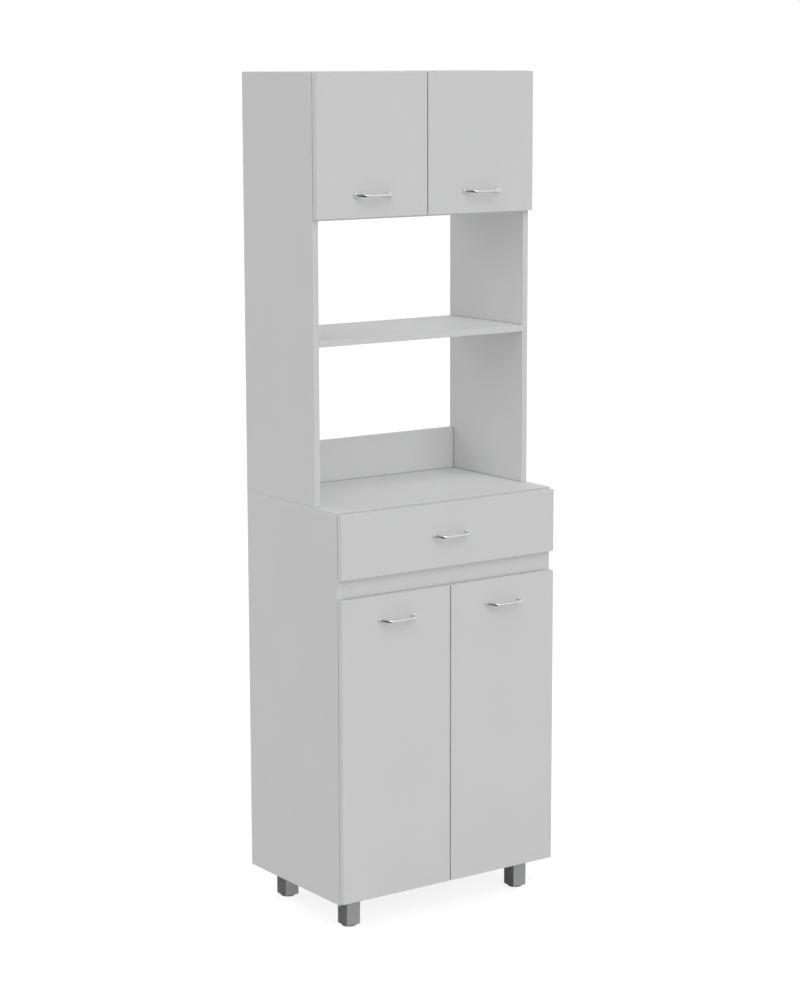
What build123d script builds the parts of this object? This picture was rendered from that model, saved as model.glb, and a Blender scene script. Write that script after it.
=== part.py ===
from build123d import *
import os

# Tall kitchen pantry with a base cabinet, an open bay over a counter and an upper cabinet.
# Millimetres. +Z is up, the doors face -Y, and the origin is on the floor at the middle of the footprint.

os.makedirs("parts", exist_ok=True)

# Overall sizes
WIDTH = 600.0
BASE_DEPTH = 374.0
HUTCH_DEPTH = 286.0
FOOT_HEIGHT = 70.0
BASE_SIDE_HEIGHT = 890.0
HUTCH_SIDE_HEIGHT = 960.0
BOARD = 15.0

# Doors and drawer front
DOOR_GAP = 2.1
SIDE_REVEAL = 1.0
MEETING_GAP = 3.0
TOP_REVEAL = 1.0
EDGE_ROUND = 0.8
LOWER_DOOR_RISE = 6.0
UPPER_DOOR_RISE = 4.0
DRAWER_FRONT_HEIGHT = 147.0
DRAWER_FRONT_DROP = 4.0
FRONT_STRIP = 46.0

# Carcass boards
RAIL_HEIGHT = 70.0
OPEN_SHELF_RISE = 373.0
BACKSPLASH_HEIGHT = 100.0
UPPER_CABINET_HEIGHT = 323.0
BACK_PANEL = 3.0
BACK_INSET = 8.0
GROOVE_DEPTH = 6.0
GROOVE_CLEARANCE = 0.2
PANEL_EDGE_GAP = 0.5

# Adjustable shelf and its pins
SHELF_SIDE_GAP = 1.0
SHELF_FRONT_SETBACK = 22.0
SHELF_BACK_GAP = 2.0
SHELF_PIN_RADIUS = 2.5
SHELF_PIN_DEPTH = 10.0
SHELF_PIN_PITCH = 32.0
SHELF_PIN_RISE = 345.0
SHELF_PIN_EDGE = 50.0
SHELF_TAB_REACH = 11.0
SHELF_TAB_WIDTH = 12.0
SHELF_TAB_THICKNESS = 2.0
SHELF_TAB_ROUND = 0.6
SHELF_PIN_CLEARANCE = 0.05
SHELF_HOLE_ROWS = 3

# Cam fittings, which draw the boards together
CAM_RADIUS = 7.4
CAM_HEIGHT = 12.0
CAM_INSET = 24.0
CAM_SLOT_WIDTH = 7.0
CAM_CLEARANCE = 0.1
CAM_CROSS_LENGTH = 6.0
CAM_CROSS_WIDTH = 1.3
CAM_CROSS_DEPTH = 2.0
BOLT_RADIUS = 2.45
BOLT_THREAD_CLEARANCE = 0.05
BOLT_HEAD_RADIUS = 3.1
BOLT_HEAD_LENGTH = 5.5
BOLT_SCREW_DEPTH = 11.0
BOLT_BORE_RADIUS = 3.5
FITTING_EDGE = 50.0
DOWEL_RADIUS = 4.0
DOWEL_CLEARANCE = 0.05
DOWEL_SINK = 9.0
DOWEL_RISE = 21.0
DOWEL_END_GAP = 1.0
DOWEL_EDGE = 80.0

# Feet
FOOT_SIZE = 38.0
FOOT_INSET_SIDE = 40.0
FOOT_INSET_FRONT = 30.0
FOOT_INSET_BACK = 46.0
FOOT_EDGE_ROUND = 1.5
GLIDE_RADIUS = 17.5
GLIDE_HEIGHT = 3.0
GLIDE_ROUND = 1.5
GLIDE_SPIGOT_RADIUS = 8.0
GLIDE_SPIGOT_LENGTH = 12.0
FOOT_BOLT_RADIUS = 4.0
FOOT_BOLT_LENGTH = 35.0
FOOT_BOLT_HEAD_RADIUS = 7.0
FOOT_BOLT_HEAD_HEIGHT = 3.0
PLASTIC_CLEARANCE = 0.1

# Handles
HANDLE_SPACING = 92.0
HANDLE_SPLAY = 11.5
HANDLE_BAR_REACH = 24.0
HANDLE_ROD_RADIUS = 3.75
HANDLE_BEND_RADIUS = 9.0
ROSETTE_RADIUS = 6.25
ROSETTE_HEIGHT = 3.0
ROSETTE_TAPER = 8.0
HANDLE_THREAD_RADIUS = 1.7
HANDLE_THREAD_DEPTH = 4.5
HANDLE_HOLE_RADIUS = 2.2
UPPER_HANDLE_RISE = 50.0
LOWER_HANDLE_DROP = 56.0

# Cup hinges, measured from their own pin: the hinge edge of the door is one way, its back face the other
HINGE_PIN_INSET = 5.9
HINGE_PIN_DEPTH = 9.6
HINGE_PIN_RADIUS = 1.0
HINGE_BORE_CLEARANCE = 0.05
CUP_EDGE = 2.5
CUP_BORE_RADIUS = 17.5
CUP_CLEARANCE = 0.1
CUP_WALL = 0.8
CUP_FLOOR_DEPTH = 2.3
FLANGE_OVERLAP = 0.4
FLANGE_THICKNESS = 1.0
FLANGE_LENGTH = 60.0
FLANGE_WIDTH = 13.0
FLANGE_OFFSET = 5.5
CUP_SCREW_SPACING = 48.0
BARREL_RADIUS = 1.8
ARM_THICKNESS = 1.6
NECK_THICKNESS = 1.4
NECK_CLEARANCE = 0.6
NECK_WIDTH = 7.0
ARM_WIDTH = 16.0
ARM_SHOULDER = 4.0
ARM_LENGTH = 50.0
ARM_LIP = 1.4
ARM_CORNER = 4.0
ARM_SCREW_SPACING = 15.0
ARM_HOLE_RADIUS = 2.1
ARM_SLOT_LENGTH = 10.0
PLATE_THICKNESS = 1.6
PLATE_SETBACK = 37.0
PLATE_WING_LENGTH = 46.0
PLATE_WING_WIDTH = 14.0
PLATE_BLOCK_FRONT = 22.0
PLATE_BLOCK_BACK = 12.0
PLATE_BLOCK_RISE = 1.5
PLATE_SCREW_SPACING = 32.0
HARDWARE_GAP = 0.1
SCREW_HOLE_RADIUS = 2.0
PILOT_RADIUS = 1.6
PILOT_DEPTH = 11.0
LOWER_HINGE_INSET = 95.0
UPPER_HINGE_INSET = 60.0

# Drawer box and its roller runners
RUNNER_SPACE = 12.5
RUNNER_LENGTH = 350.0
RUNNER_SETBACK = 2.0
RUNNER_SHEET = 1.2
RUNNER_BEND = 1.4
CABINET_LIP_GAP = 1.9
DRAWER_LIP_GAP = 3.0
DRAWER_MEMBER_LENGTH = 345.0
DRAWER_MEMBER_HEIGHT = 19.2
DRAWER_MEMBER_FOOT = 11.0
DRAWER_SIDE_LENGTH = 350.0
DRAWER_SIDE_HEIGHT = 90.0
DRAWER_TRAVEL = 260.0
DRAWER_CAM_RISE = 54.0
DRAWER_SCREW_RISES = (18.0, 58.5)
DRAWER_RISE = 12.0
DRAWER_BOTTOM = 3.0
DRAWER_BOTTOM_RISE = 10.0
DRAWER_GROOVE_DEPTH = 5.0
CHANNEL_HEIGHT = 24.5
CABINET_ROLLER_RADIUS = 10.0
CABINET_ROLLER_INSET = 14.0
DRAWER_ROLLER_RADIUS = 11.0
DRAWER_ROLLER_INSET = 12.0
ROLLER_SIDE_SPACE = 3.1
ROLLER_UNDER_SPACE = 0.9
ROLLER_CLEARANCE = 0.1
ROLLER_BORE_CLEARANCE = 0.06
ROLLER_BEVEL = 0.8
AXLE_RADIUS = 2.0
AXLE_HEAD_RADIUS = 3.2
AXLE_HEAD_HEIGHT = 0.8
AXLE_SHOULDER = 0.5
RUNNER_SCREW_START = 48.0
RUNNER_SCREW_SPACING = 128.0
RUNNER_SCREW_COUNT = 3
STOP_RADIUS = 1.2
STOP_GAP = 0.5

# Places worked out from the sizes above
X_SIDE = WIDTH / 2
X_INNER = X_SIDE - BOARD
OVERALL_DEPTH = BASE_DEPTH + DOOR_GAP + BOARD + HANDLE_BAR_REACH + HANDLE_ROD_RADIUS
Y_BACK = OVERALL_DEPTH / 2
Y_BASE_FRONT = Y_BACK - BASE_DEPTH
Y_HUTCH_FRONT = Y_BACK - HUTCH_DEPTH
Y_PANEL_BACK = Y_BACK - BACK_INSET - GROOVE_CLEARANCE
Y_PANEL_FRONT = Y_PANEL_BACK - BACK_PANEL
Z_BASE = FOOT_HEIGHT
Z_COUNTER_UNDER = Z_BASE + BASE_SIDE_HEIGHT
Z_COUNTER = Z_COUNTER_UNDER + BOARD
Z_TOP = Z_COUNTER + HUTCH_SIDE_HEIGHT
Z_UPPER_UNDER = Z_TOP - UPPER_CABINET_HEIGHT
Z_OPEN_SHELF = Z_COUNTER + OPEN_SHELF_RISE
Z_DRAWER_TOP = Z_COUNTER - DRAWER_FRONT_DROP
Z_DRAWER_FRONT = Z_DRAWER_TOP - DRAWER_FRONT_HEIGHT
Z_LOWER_DOOR_TOP = Z_DRAWER_FRONT - FRONT_STRIP
Z_LOWER_DOOR = Z_BASE + LOWER_DOOR_RISE
Z_UPPER_DOOR = Z_UPPER_UNDER + UPPER_DOOR_RISE
Z_UPPER_DOOR_TOP = Z_TOP - TOP_REVEAL
Z_RAIL = (Z_DRAWER_FRONT + Z_LOWER_DOOR_TOP - RAIL_HEIGHT) / 2
Z_RAIL_TOP = Z_RAIL + RAIL_HEIGHT
Z_SHELF_PIN = Z_BASE + SHELF_PIN_RISE
X_DOOR_EDGE = X_SIDE - SIDE_REVEAL
X_DOOR_FREE = MEETING_GAP / 2
X_DOOR_MIDDLE = -(X_DOOR_EDGE + X_DOOR_FREE) / 2
X_PIN = X_DOOR_EDGE - HINGE_PIN_INSET
Z_DRAWER_BOX = Z_RAIL_TOP + DRAWER_RISE
X_DRAWER_OUTER = X_INNER - RUNNER_SPACE
X_DRAWER_INNER = X_DRAWER_OUTER - BOARD
CUP_CENTRE = CUP_EDGE + CUP_BORE_RADIUS - HINGE_PIN_INSET


def save(builder, name):
    """Label a finished sub-part and write it to its own file."""
    builder.part.label = name
    export_step(builder.part, f"parts/{name}.step")


def save_both(builder, pattern):
    """Write a sub-part made for the left, and its mirror image for the right."""
    save(builder, pattern.format("left"))
    with BuildPart() as right_hand:
        add(builder.part)
        mirror(about=Plane.YZ, mode=Mode.REPLACE)
    save(right_hand, pattern.format("right"))


def middle(span):
    """Return the middle of a span given as its low and high ends."""
    return (span[0] + span[1]) / 2


def facing(direction, points):
    """Return a plane at each point, looking along the direction, for holes drilled against it."""
    return [Plane(origin=point, z_dir=direction) for point in points]


def board(x_span, y_span, z_span):
    """Make a plain board between its low and high limits along each axis."""
    with BuildPart() as blank:
        with BuildSketch(Plane.XY.offset(z_span[0])):
            with Locations((middle(x_span), middle(y_span))):
                Rectangle(x_span[1] - x_span[0], y_span[1] - y_span[0])
        extrude(amount=z_span[1] - z_span[0])
    return blank


class CamJoint:
    """A cam and bolt that draw the end of one board against the face of another.

    The bolt stands in the face and its axis runs through the point seat, along the direction run,
    into the end of the other board. The cam lies in that board's face that looks along open_side.
    """

    def __init__(self, seat, run, open_side):
        self.seat = Vector(*seat)
        self.run = Vector(*run)
        self.open_side = Vector(*open_side)

    def cam_plane(self):
        """Return the plane of the cam's top, flush with its board's face."""
        origin = self.seat + self.run * CAM_INSET + self.open_side * (BOARD / 2)
        return Plane(origin=origin, x_dir=self.run, z_dir=self.open_side)

    def bolt_plane(self):
        """Return the plane where the bolt leaves the face that it stands in."""
        return Plane(origin=self.seat, z_dir=self.run)

    def end_plane(self):
        """Return the plane of the end that the bolt goes into, looking out of it."""
        return Plane(origin=self.seat, z_dir=self.run * -1)


def bore_for_cams(joints):
    """Bore the cam pockets and bolt holes of the board that holds the cams."""
    with Locations(*[joint.cam_plane() for joint in joints]):
        Hole(CAM_RADIUS + CAM_CLEARANCE, CAM_HEIGHT + CAM_CLEARANCE)
    with Locations(*[joint.end_plane() for joint in joints]):
        Hole(BOLT_BORE_RADIUS, CAM_INSET)


def bore_for_bolts(joints):
    """Bore the holes that the bolts are screwed into."""
    with Locations(*[joint.bolt_plane() for joint in joints]):
        Hole(BOLT_RADIUS + BOLT_THREAD_CLEARANCE, BOLT_SCREW_DEPTH + CAM_CLEARANCE)


# Where the boards are drawn together, for the left end of each board
END_Y_BASE = (Y_BASE_FRONT + FITTING_EDGE, Y_BACK - FITTING_EDGE)
END_Y_HUTCH = (Y_HUTCH_FRONT + FITTING_EDGE, Y_BACK - FITTING_EDGE)
UP = (0, 0, 1)
DOWN = (0, 0, -1)
TO_RIGHT = (1, 0, 0)
TO_LEFT = (-1, 0, 0)
TO_BACK = (0, 1, 0)
TO_FRONT = (0, -1, 0)


def shelf_joints(y_places, z_under, open_side):
    """Return the cam joints at the left end of a horizontal board."""
    return [CamJoint((-X_INNER, y, z_under + BOARD / 2), TO_RIGHT, open_side) for y in y_places]


bottom_joints = shelf_joints(END_Y_BASE, Z_BASE, UP)
open_shelf_joints = shelf_joints(END_Y_HUTCH, Z_OPEN_SHELF - BOARD, DOWN)
upper_bottom_joints = shelf_joints(END_Y_HUTCH, Z_UPPER_UNDER, UP)
top_joints = shelf_joints(END_Y_HUTCH, Z_TOP - BOARD, DOWN)
rail_seat = (-X_INNER, Y_BASE_FRONT + BOARD / 2, Z_RAIL + RAIL_HEIGHT / 2)
splash_seat = (-X_INNER, Y_BACK - BOARD / 2, Z_COUNTER + BACKSPLASH_HEIGHT / 2)
drawer_seat = (-X_DRAWER_OUTER + BOARD / 2, Y_BASE_FRONT - DOOR_GAP, Z_DRAWER_BOX + DRAWER_CAM_RISE)
rail_joints = [CamJoint(rail_seat, TO_RIGHT, TO_BACK)]
splash_joints = [CamJoint(splash_seat, TO_RIGHT, TO_BACK)]
drawer_joints = [CamJoint(drawer_seat, TO_BACK, TO_RIGHT)]
counter_joints = [CamJoint((-X_SIDE + BOARD / 2, y, Z_COUNTER_UNDER), DOWN, TO_RIGHT) for y in END_Y_BASE]
cabinet_joints = (
    bottom_joints
    + open_shelf_joints
    + upper_bottom_joints
    + top_joints
    + rail_joints
    + splash_joints
    + counter_joints
)
dowel_rows = (Y_HUTCH_FRONT + DOWEL_EDGE, Y_BACK - DOWEL_EDGE)
dowel_points = [(-X_SIDE + BOARD / 2, y, Z_COUNTER) for y in dowel_rows]


def mirrored(joints):
    """Return the same joints at the other side of the cabinet."""
    flipped = []
    for joint in joints:
        seat = (-joint.seat.X, joint.seat.Y, joint.seat.Z)
        run = (-joint.run.X, joint.run.Y, joint.run.Z)
        open_side = (-joint.open_side.X, joint.open_side.Y, joint.open_side.Z)
        flipped.append(CamJoint(seat, run, open_side))
    return flipped


# Hinge places: the pins of each left door, low and high
def hinge_heights(door_low, door_high, inset):
    """Return the heights of a door's two hinges."""
    return (door_low + inset, door_high - inset)


LOWER_HINGES = hinge_heights(Z_LOWER_DOOR, Z_LOWER_DOOR_TOP, LOWER_HINGE_INSET)
UPPER_HINGES = hinge_heights(Z_UPPER_DOOR, Z_UPPER_DOOR_TOP, UPPER_HINGE_INSET)


def pin_points(carcass_front, heights):
    """Return the middle of each left hinge pin of one door."""
    return [(-X_PIN, carcass_front - DOOR_GAP - HINGE_PIN_DEPTH, z) for z in heights]


LOWER_PINS = pin_points(Y_BASE_FRONT, LOWER_HINGES)
UPPER_PINS = pin_points(Y_HUTCH_FRONT, UPPER_HINGES)

# Runner places, for the left side
RUNNER_FRONT = Y_BASE_FRONT + RUNNER_SETBACK
Z_LIP = Z_DRAWER_BOX - RUNNER_SHEET + DRAWER_MEMBER_HEIGHT
Z_CABINET_ROLLER = Z_LIP - ROLLER_CLEARANCE - CABINET_ROLLER_RADIUS
Z_CHANNEL = Z_CABINET_ROLLER - CABINET_ROLLER_RADIUS - ROLLER_UNDER_SPACE
Z_DRAWER_ROLLER = Z_CHANNEL + ROLLER_CLEARANCE + DRAWER_ROLLER_RADIUS
Y_CABINET_ROLLER = RUNNER_FRONT + CABINET_ROLLER_INSET
Y_DRAWER_ROLLER = RUNNER_FRONT + DRAWER_MEMBER_LENGTH - DRAWER_ROLLER_INSET
RUNNER_SCREW_FIRST = RUNNER_FRONT + RUNNER_SCREW_START
RUNNER_SCREW_Y = [RUNNER_SCREW_FIRST + RUNNER_SCREW_SPACING * count for count in range(RUNNER_SCREW_COUNT)]


def make_side(z_low, z_high, y_front, groove_low, bolt_joints, face_holes):
    """Make a left side board with its groove for the back panel and the borings in its inner face."""
    blank = board((-X_SIDE, -X_INNER), (y_front, Y_BACK), (z_low, z_high))
    with BuildPart() as side:
        add(blank.part)
        with BuildSketch(Plane.XY.offset(groove_low)):
            with Locations((-X_INNER, (Y_PANEL_FRONT + Y_PANEL_BACK) / 2)):
                Rectangle(2 * GROOVE_DEPTH, BACK_PANEL + 2 * GROOVE_CLEARANCE)
        extrude(amount=z_high - groove_low, mode=Mode.SUBTRACT)
        bore_for_bolts(bolt_joints)
        for radius, depth, points in face_holes:
            with Locations(*facing(TO_RIGHT, points)):
                Hole(radius, depth)
        front_edges = side.edges().filter_by(Axis.Z).group_by(Axis.Y)[0]
        fillet(front_edges, EDGE_ROUND)
    return side


def plate_screw_points(carcass_front, heights):
    """Return the screw places of the hinge plates on the left side's inner face."""
    y = carcass_front + PLATE_SETBACK
    return [(-X_INNER, y, z + way * PLATE_SCREW_SPACING / 2) for z in heights for way in (-1, 1)]


shelf_pin_points = [
    (-X_INNER, y, Z_SHELF_PIN + SHELF_PIN_PITCH * (row - SHELF_HOLE_ROWS // 2))
    for y in (Y_BASE_FRONT + SHELF_PIN_EDGE, Y_BACK - SHELF_PIN_EDGE)
    for row in range(SHELF_HOLE_ROWS)
]
runner_screw_points = [(-X_INNER, y, Z_CHANNEL + CHANNEL_HEIGHT / 2) for y in RUNNER_SCREW_Y]

plain_base_side = make_side(
    Z_BASE,
    Z_COUNTER_UNDER,
    Y_BASE_FRONT,
    Z_BASE,
    bottom_joints + rail_joints,
    [
        (SHELF_PIN_RADIUS, SHELF_PIN_DEPTH + CAM_CLEARANCE, shelf_pin_points),
        (PILOT_RADIUS, PILOT_DEPTH, plate_screw_points(Y_BASE_FRONT, LOWER_HINGES) + runner_screw_points),
    ],
)
with BuildPart() as base_side:
    add(plain_base_side.part)
    bore_for_cams(counter_joints)
save_both(base_side, "base_{}_side")

plain_hutch_side = make_side(
    Z_COUNTER,
    Z_TOP,
    Y_HUTCH_FRONT,
    Z_UPPER_UNDER,
    open_shelf_joints + upper_bottom_joints + top_joints + splash_joints,
    [(PILOT_RADIUS, PILOT_DEPTH, plate_screw_points(Y_HUTCH_FRONT, UPPER_HINGES))],
)
with BuildPart() as hutch_side:
    add(plain_hutch_side.part)
    with Locations(*facing(DOWN, dowel_points)):
        Hole(DOWEL_RADIUS + DOWEL_CLEARANCE, DOWEL_RISE)
    fillet(hutch_side.faces().sort_by(Axis.Z)[0].outer_wire().edges(), EDGE_ROUND)
save_both(hutch_side, "hutch_{}_side")


def make_cross_board(y_span, z_span, joints, groove_z=None, round_ends=False):
    """Make a board that spans the two sides, bored for its cams and grooved for a back panel."""
    blank = board((-X_INNER, X_INNER), y_span, z_span)
    with BuildPart() as cross:
        add(blank.part)
        if groove_z is not None:
            with BuildSketch(Plane.XY.offset(groove_z)):
                with Locations((0, (Y_PANEL_FRONT + Y_PANEL_BACK) / 2)):
                    Rectangle(2 * X_INNER, BACK_PANEL + 2 * GROOVE_CLEARANCE)
            extrude(amount=GROOVE_DEPTH, both=True, mode=Mode.SUBTRACT)
        bore_for_cams(joints + mirrored(joints))
        front_edges = cross.faces().sort_by(Axis.Y)[0].outer_wire().edges()
        if not round_ends:
            front_edges = front_edges.filter_by(Axis.X)
        fillet(front_edges, EDGE_ROUND)
    return cross


base_depth = (Y_BASE_FRONT, Y_BACK)
hutch_depth = (Y_HUTCH_FRONT, Y_BACK)
base_bottom = make_cross_board(base_depth, (Z_BASE, Z_BASE + BOARD), bottom_joints, Z_BASE + BOARD)
foot_x = X_SIDE - FOOT_INSET_SIDE - FOOT_SIZE / 2
foot_rows = (
    Y_BASE_FRONT + FOOT_INSET_FRONT + FOOT_SIZE / 2,
    Y_BACK - FOOT_INSET_BACK - FOOT_SIZE / 2,
)
foot_places = [(x, y, Z_BASE) for x in (-foot_x, foot_x) for y in foot_rows]
with BuildPart() as drilled_bottom:
    add(base_bottom.part)
    with Locations(*facing(DOWN, foot_places)):
        Hole(FOOT_BOLT_RADIUS + PLASTIC_CLEARANCE, BOARD)
save(drilled_bottom, "base_bottom")

open_shelf = make_cross_board(hutch_depth, (Z_OPEN_SHELF - BOARD, Z_OPEN_SHELF), open_shelf_joints)
save(open_shelf, "open_shelf")
upper_bottom = make_cross_board(
    hutch_depth, (Z_UPPER_UNDER, Z_UPPER_UNDER + BOARD), upper_bottom_joints, Z_UPPER_UNDER + BOARD
)
save(upper_bottom, "upper_cabinet_bottom")
hutch_top = make_cross_board(hutch_depth, (Z_TOP - BOARD, Z_TOP), top_joints, Z_TOP - BOARD)
save(hutch_top, "hutch_top")
rail = make_cross_board((Y_BASE_FRONT, Y_BASE_FRONT + BOARD), (Z_RAIL, Z_RAIL_TOP), rail_joints)
save(rail, "front_rail")
splash_height = (Z_COUNTER, Z_COUNTER + BACKSPLASH_HEIGHT)
splash = make_cross_board((Y_BACK - BOARD, Y_BACK), splash_height, splash_joints, round_ends=True)
save(splash, "backsplash_rail")

counter_blank = board((-X_SIDE, X_SIDE), base_depth, (Z_COUNTER_UNDER, Z_COUNTER))
with BuildPart() as counter:
    add(counter_blank.part)
    with BuildSketch(Plane.XY.offset(Z_COUNTER_UNDER)):
        with Locations((0, (Y_PANEL_FRONT + Y_PANEL_BACK) / 2)):
            Rectangle(2 * (X_INNER + GROOVE_DEPTH), BACK_PANEL + 2 * GROOVE_CLEARANCE)
    extrude(amount=GROOVE_DEPTH, mode=Mode.SUBTRACT)
    bore_for_bolts(counter_joints + mirrored(counter_joints))
    with Locations(*facing(UP, dowel_points + [(-x, y, z) for x, y, z in dowel_points])):
        Hole(DOWEL_RADIUS + DOWEL_CLEARANCE, DOWEL_SINK + DOWEL_END_GAP)
    fillet(counter.edges().filter_by(Axis.X).group_by(Axis.Y)[0], EDGE_ROUND)
save(counter, "counter_top")


def make_back_panel(z_low, z_high):
    """Make a thin back panel held in the grooves round an opening of the given height."""
    reach = GROOVE_DEPTH - PANEL_EDGE_GAP
    return board(
        (-X_INNER - reach, X_INNER + reach), (Y_PANEL_FRONT, Y_PANEL_BACK), (z_low - reach, z_high + reach)
    )


save(make_back_panel(Z_BASE + BOARD, Z_COUNTER_UNDER), "base_back_panel")
save(make_back_panel(Z_UPPER_UNDER + BOARD, Z_TOP - BOARD), "upper_back_panel")

# Adjustable shelf on four pins
shelf_under = Z_SHELF_PIN + SHELF_TAB_THICKNESS / 2
shelf_x = X_INNER - SHELF_SIDE_GAP
base_shelf_blank = board(
    (-shelf_x, shelf_x),
    (Y_BASE_FRONT + SHELF_FRONT_SETBACK, Y_PANEL_FRONT - SHELF_BACK_GAP),
    (shelf_under, shelf_under + BOARD),
)
with BuildPart() as base_shelf:
    add(base_shelf_blank.part)
    fillet(base_shelf.edges().filter_by(Axis.X).group_by(Axis.Y)[0], EDGE_ROUND)
save(base_shelf, "base_shelf")

used_pin_places = [(y, z) for _, y, z in shelf_pin_points if abs(z - Z_SHELF_PIN) < SHELF_PIN_PITCH / 2]
with BuildPart() as shelf_pins:
    with BuildSketch(Plane.YZ.offset(-X_INNER)):
        with Locations(*used_pin_places):
            RectangleRounded(SHELF_TAB_WIDTH, SHELF_TAB_THICKNESS, SHELF_TAB_ROUND)
    extrude(amount=SHELF_TAB_REACH)
    with BuildSketch(Plane.YZ.offset(-X_INNER - SHELF_PIN_DEPTH)):
        with Locations(*used_pin_places):
            Circle(SHELF_PIN_RADIUS - SHELF_PIN_CLEARANCE)
    extrude(amount=SHELF_PIN_DEPTH)
    mirror(about=Plane.YZ)
save(shelf_pins, "shelf_pins")

# Wooden dowels that stand the upper sides on the counter
with BuildPart() as hutch_dowels:
    with BuildSketch(Plane.XY.offset(Z_COUNTER - DOWEL_SINK)):
        with Locations(*[(x, y) for x, y, _ in dowel_points]):
            Circle(DOWEL_RADIUS)
    extrude(amount=DOWEL_SINK + DOWEL_RISE - DOWEL_END_GAP)
    chamfer(hutch_dowels.edges().filter_by(GeomType.CIRCLE), DOWEL_END_GAP)
    mirror(about=Plane.YZ)
save(hutch_dowels, "hutch_dowels")

# Cam fittings: the lock is slotted for the bolt's head and has a cross in its face for the screwdriver
with BuildPart() as cam:
    with BuildSketch(Plane.XY.offset(-CAM_HEIGHT)):
        Circle(CAM_RADIUS)
    extrude(amount=CAM_HEIGHT)
    with BuildSketch(Plane.XY.offset(-BOARD / 2 - CAM_SLOT_WIDTH / 2)):
        with Locations((-CAM_RADIUS, 0)):
            Rectangle(2 * CAM_RADIUS + BOLT_HEAD_LENGTH, CAM_SLOT_WIDTH)
    extrude(amount=CAM_SLOT_WIDTH, mode=Mode.SUBTRACT)
    with BuildSketch(Plane.XY):
        Rectangle(CAM_CROSS_LENGTH, CAM_CROSS_WIDTH)
        Rectangle(CAM_CROSS_WIDTH, CAM_CROSS_LENGTH)
    extrude(amount=-CAM_CROSS_DEPTH, mode=Mode.SUBTRACT)

with BuildPart() as cam_bolt:
    with BuildSketch(Plane.XY.offset(-BOLT_SCREW_DEPTH)):
        Circle(BOLT_RADIUS)
    extrude(amount=BOLT_SCREW_DEPTH + CAM_INSET - BOLT_HEAD_LENGTH / 2)
    with BuildSketch(Plane.XY.offset(CAM_INSET - BOLT_HEAD_LENGTH)):
        Circle(BOLT_HEAD_RADIUS)
    extrude(amount=BOLT_HEAD_LENGTH)


def place_copies(prototype, planes):
    """Make one sub-part of separate copies of a prototype, one at each plane."""
    with BuildPart() as group:
        with Locations(*planes):
            add(prototype.part)
    return group


all_joints = cabinet_joints + mirrored(cabinet_joints)
save(place_copies(cam, [joint.cam_plane() for joint in all_joints]), "cam_locks")
save(place_copies(cam_bolt, [joint.bolt_plane() for joint in all_joints]), "cam_bolts")

# Feet: a square leg, a round glide under it and a bolt down through the bottom board
with BuildPart() as foot:
    with BuildSketch(Plane.XY.offset(GLIDE_HEIGHT - FOOT_HEIGHT)):
        RectangleRounded(FOOT_SIZE, FOOT_SIZE, FOOT_EDGE_ROUND)
    extrude(amount=FOOT_HEIGHT - GLIDE_HEIGHT)
    with Locations(Plane(origin=(0, 0, 0), z_dir=UP)):
        Hole(FOOT_BOLT_RADIUS + PLASTIC_CLEARANCE, FOOT_BOLT_LENGTH)
    with Locations(Plane(origin=(0, 0, GLIDE_HEIGHT - FOOT_HEIGHT), z_dir=DOWN)):
        Hole(GLIDE_SPIGOT_RADIUS + PLASTIC_CLEARANCE, GLIDE_SPIGOT_LENGTH + PLASTIC_CLEARANCE)
    fillet(foot.faces().sort_by(Axis.Z)[0].outer_wire().edges(), FOOT_EDGE_ROUND)

foot_names = ("back_left_foot", "front_left_foot", "back_right_foot", "front_right_foot")
ordered_places = sorted(foot_places, key=lambda place: (place[0], -place[1]))
for foot_name, place in zip(foot_names, ordered_places):
    save(place_copies(foot, [Location(place)]), foot_name)

with BuildPart() as glide:
    with BuildSketch(Plane.XZ):
        with BuildLine():
            Polyline(
                (0, 0),
                (GLIDE_RADIUS, 0),
                (GLIDE_RADIUS, GLIDE_HEIGHT),
                (GLIDE_SPIGOT_RADIUS, GLIDE_HEIGHT),
                (GLIDE_SPIGOT_RADIUS, GLIDE_HEIGHT + GLIDE_SPIGOT_LENGTH),
                (0, GLIDE_HEIGHT + GLIDE_SPIGOT_LENGTH),
                close=True,
            )
        make_face()
    revolve(axis=Axis.Z)
    fillet(glide.edges().group_by(Axis.Z)[0], GLIDE_ROUND)
save(place_copies(glide, [Location((x, y, 0)) for x, y, _ in foot_places]), "foot_glides")

with BuildPart() as foot_bolt:
    with BuildSketch(Plane.XY.offset(BOARD)):
        RegularPolygon(FOOT_BOLT_HEAD_RADIUS, 6)
    extrude(amount=FOOT_BOLT_HEAD_HEIGHT)
    with BuildSketch(Plane.XY.offset(BOARD)):
        Circle(FOOT_BOLT_RADIUS)
    extrude(amount=-(BOARD + FOOT_BOLT_LENGTH - PLASTIC_CLEARANCE))
save(place_copies(foot_bolt, [Location(place) for place in foot_places]), "foot_bolts")

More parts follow.
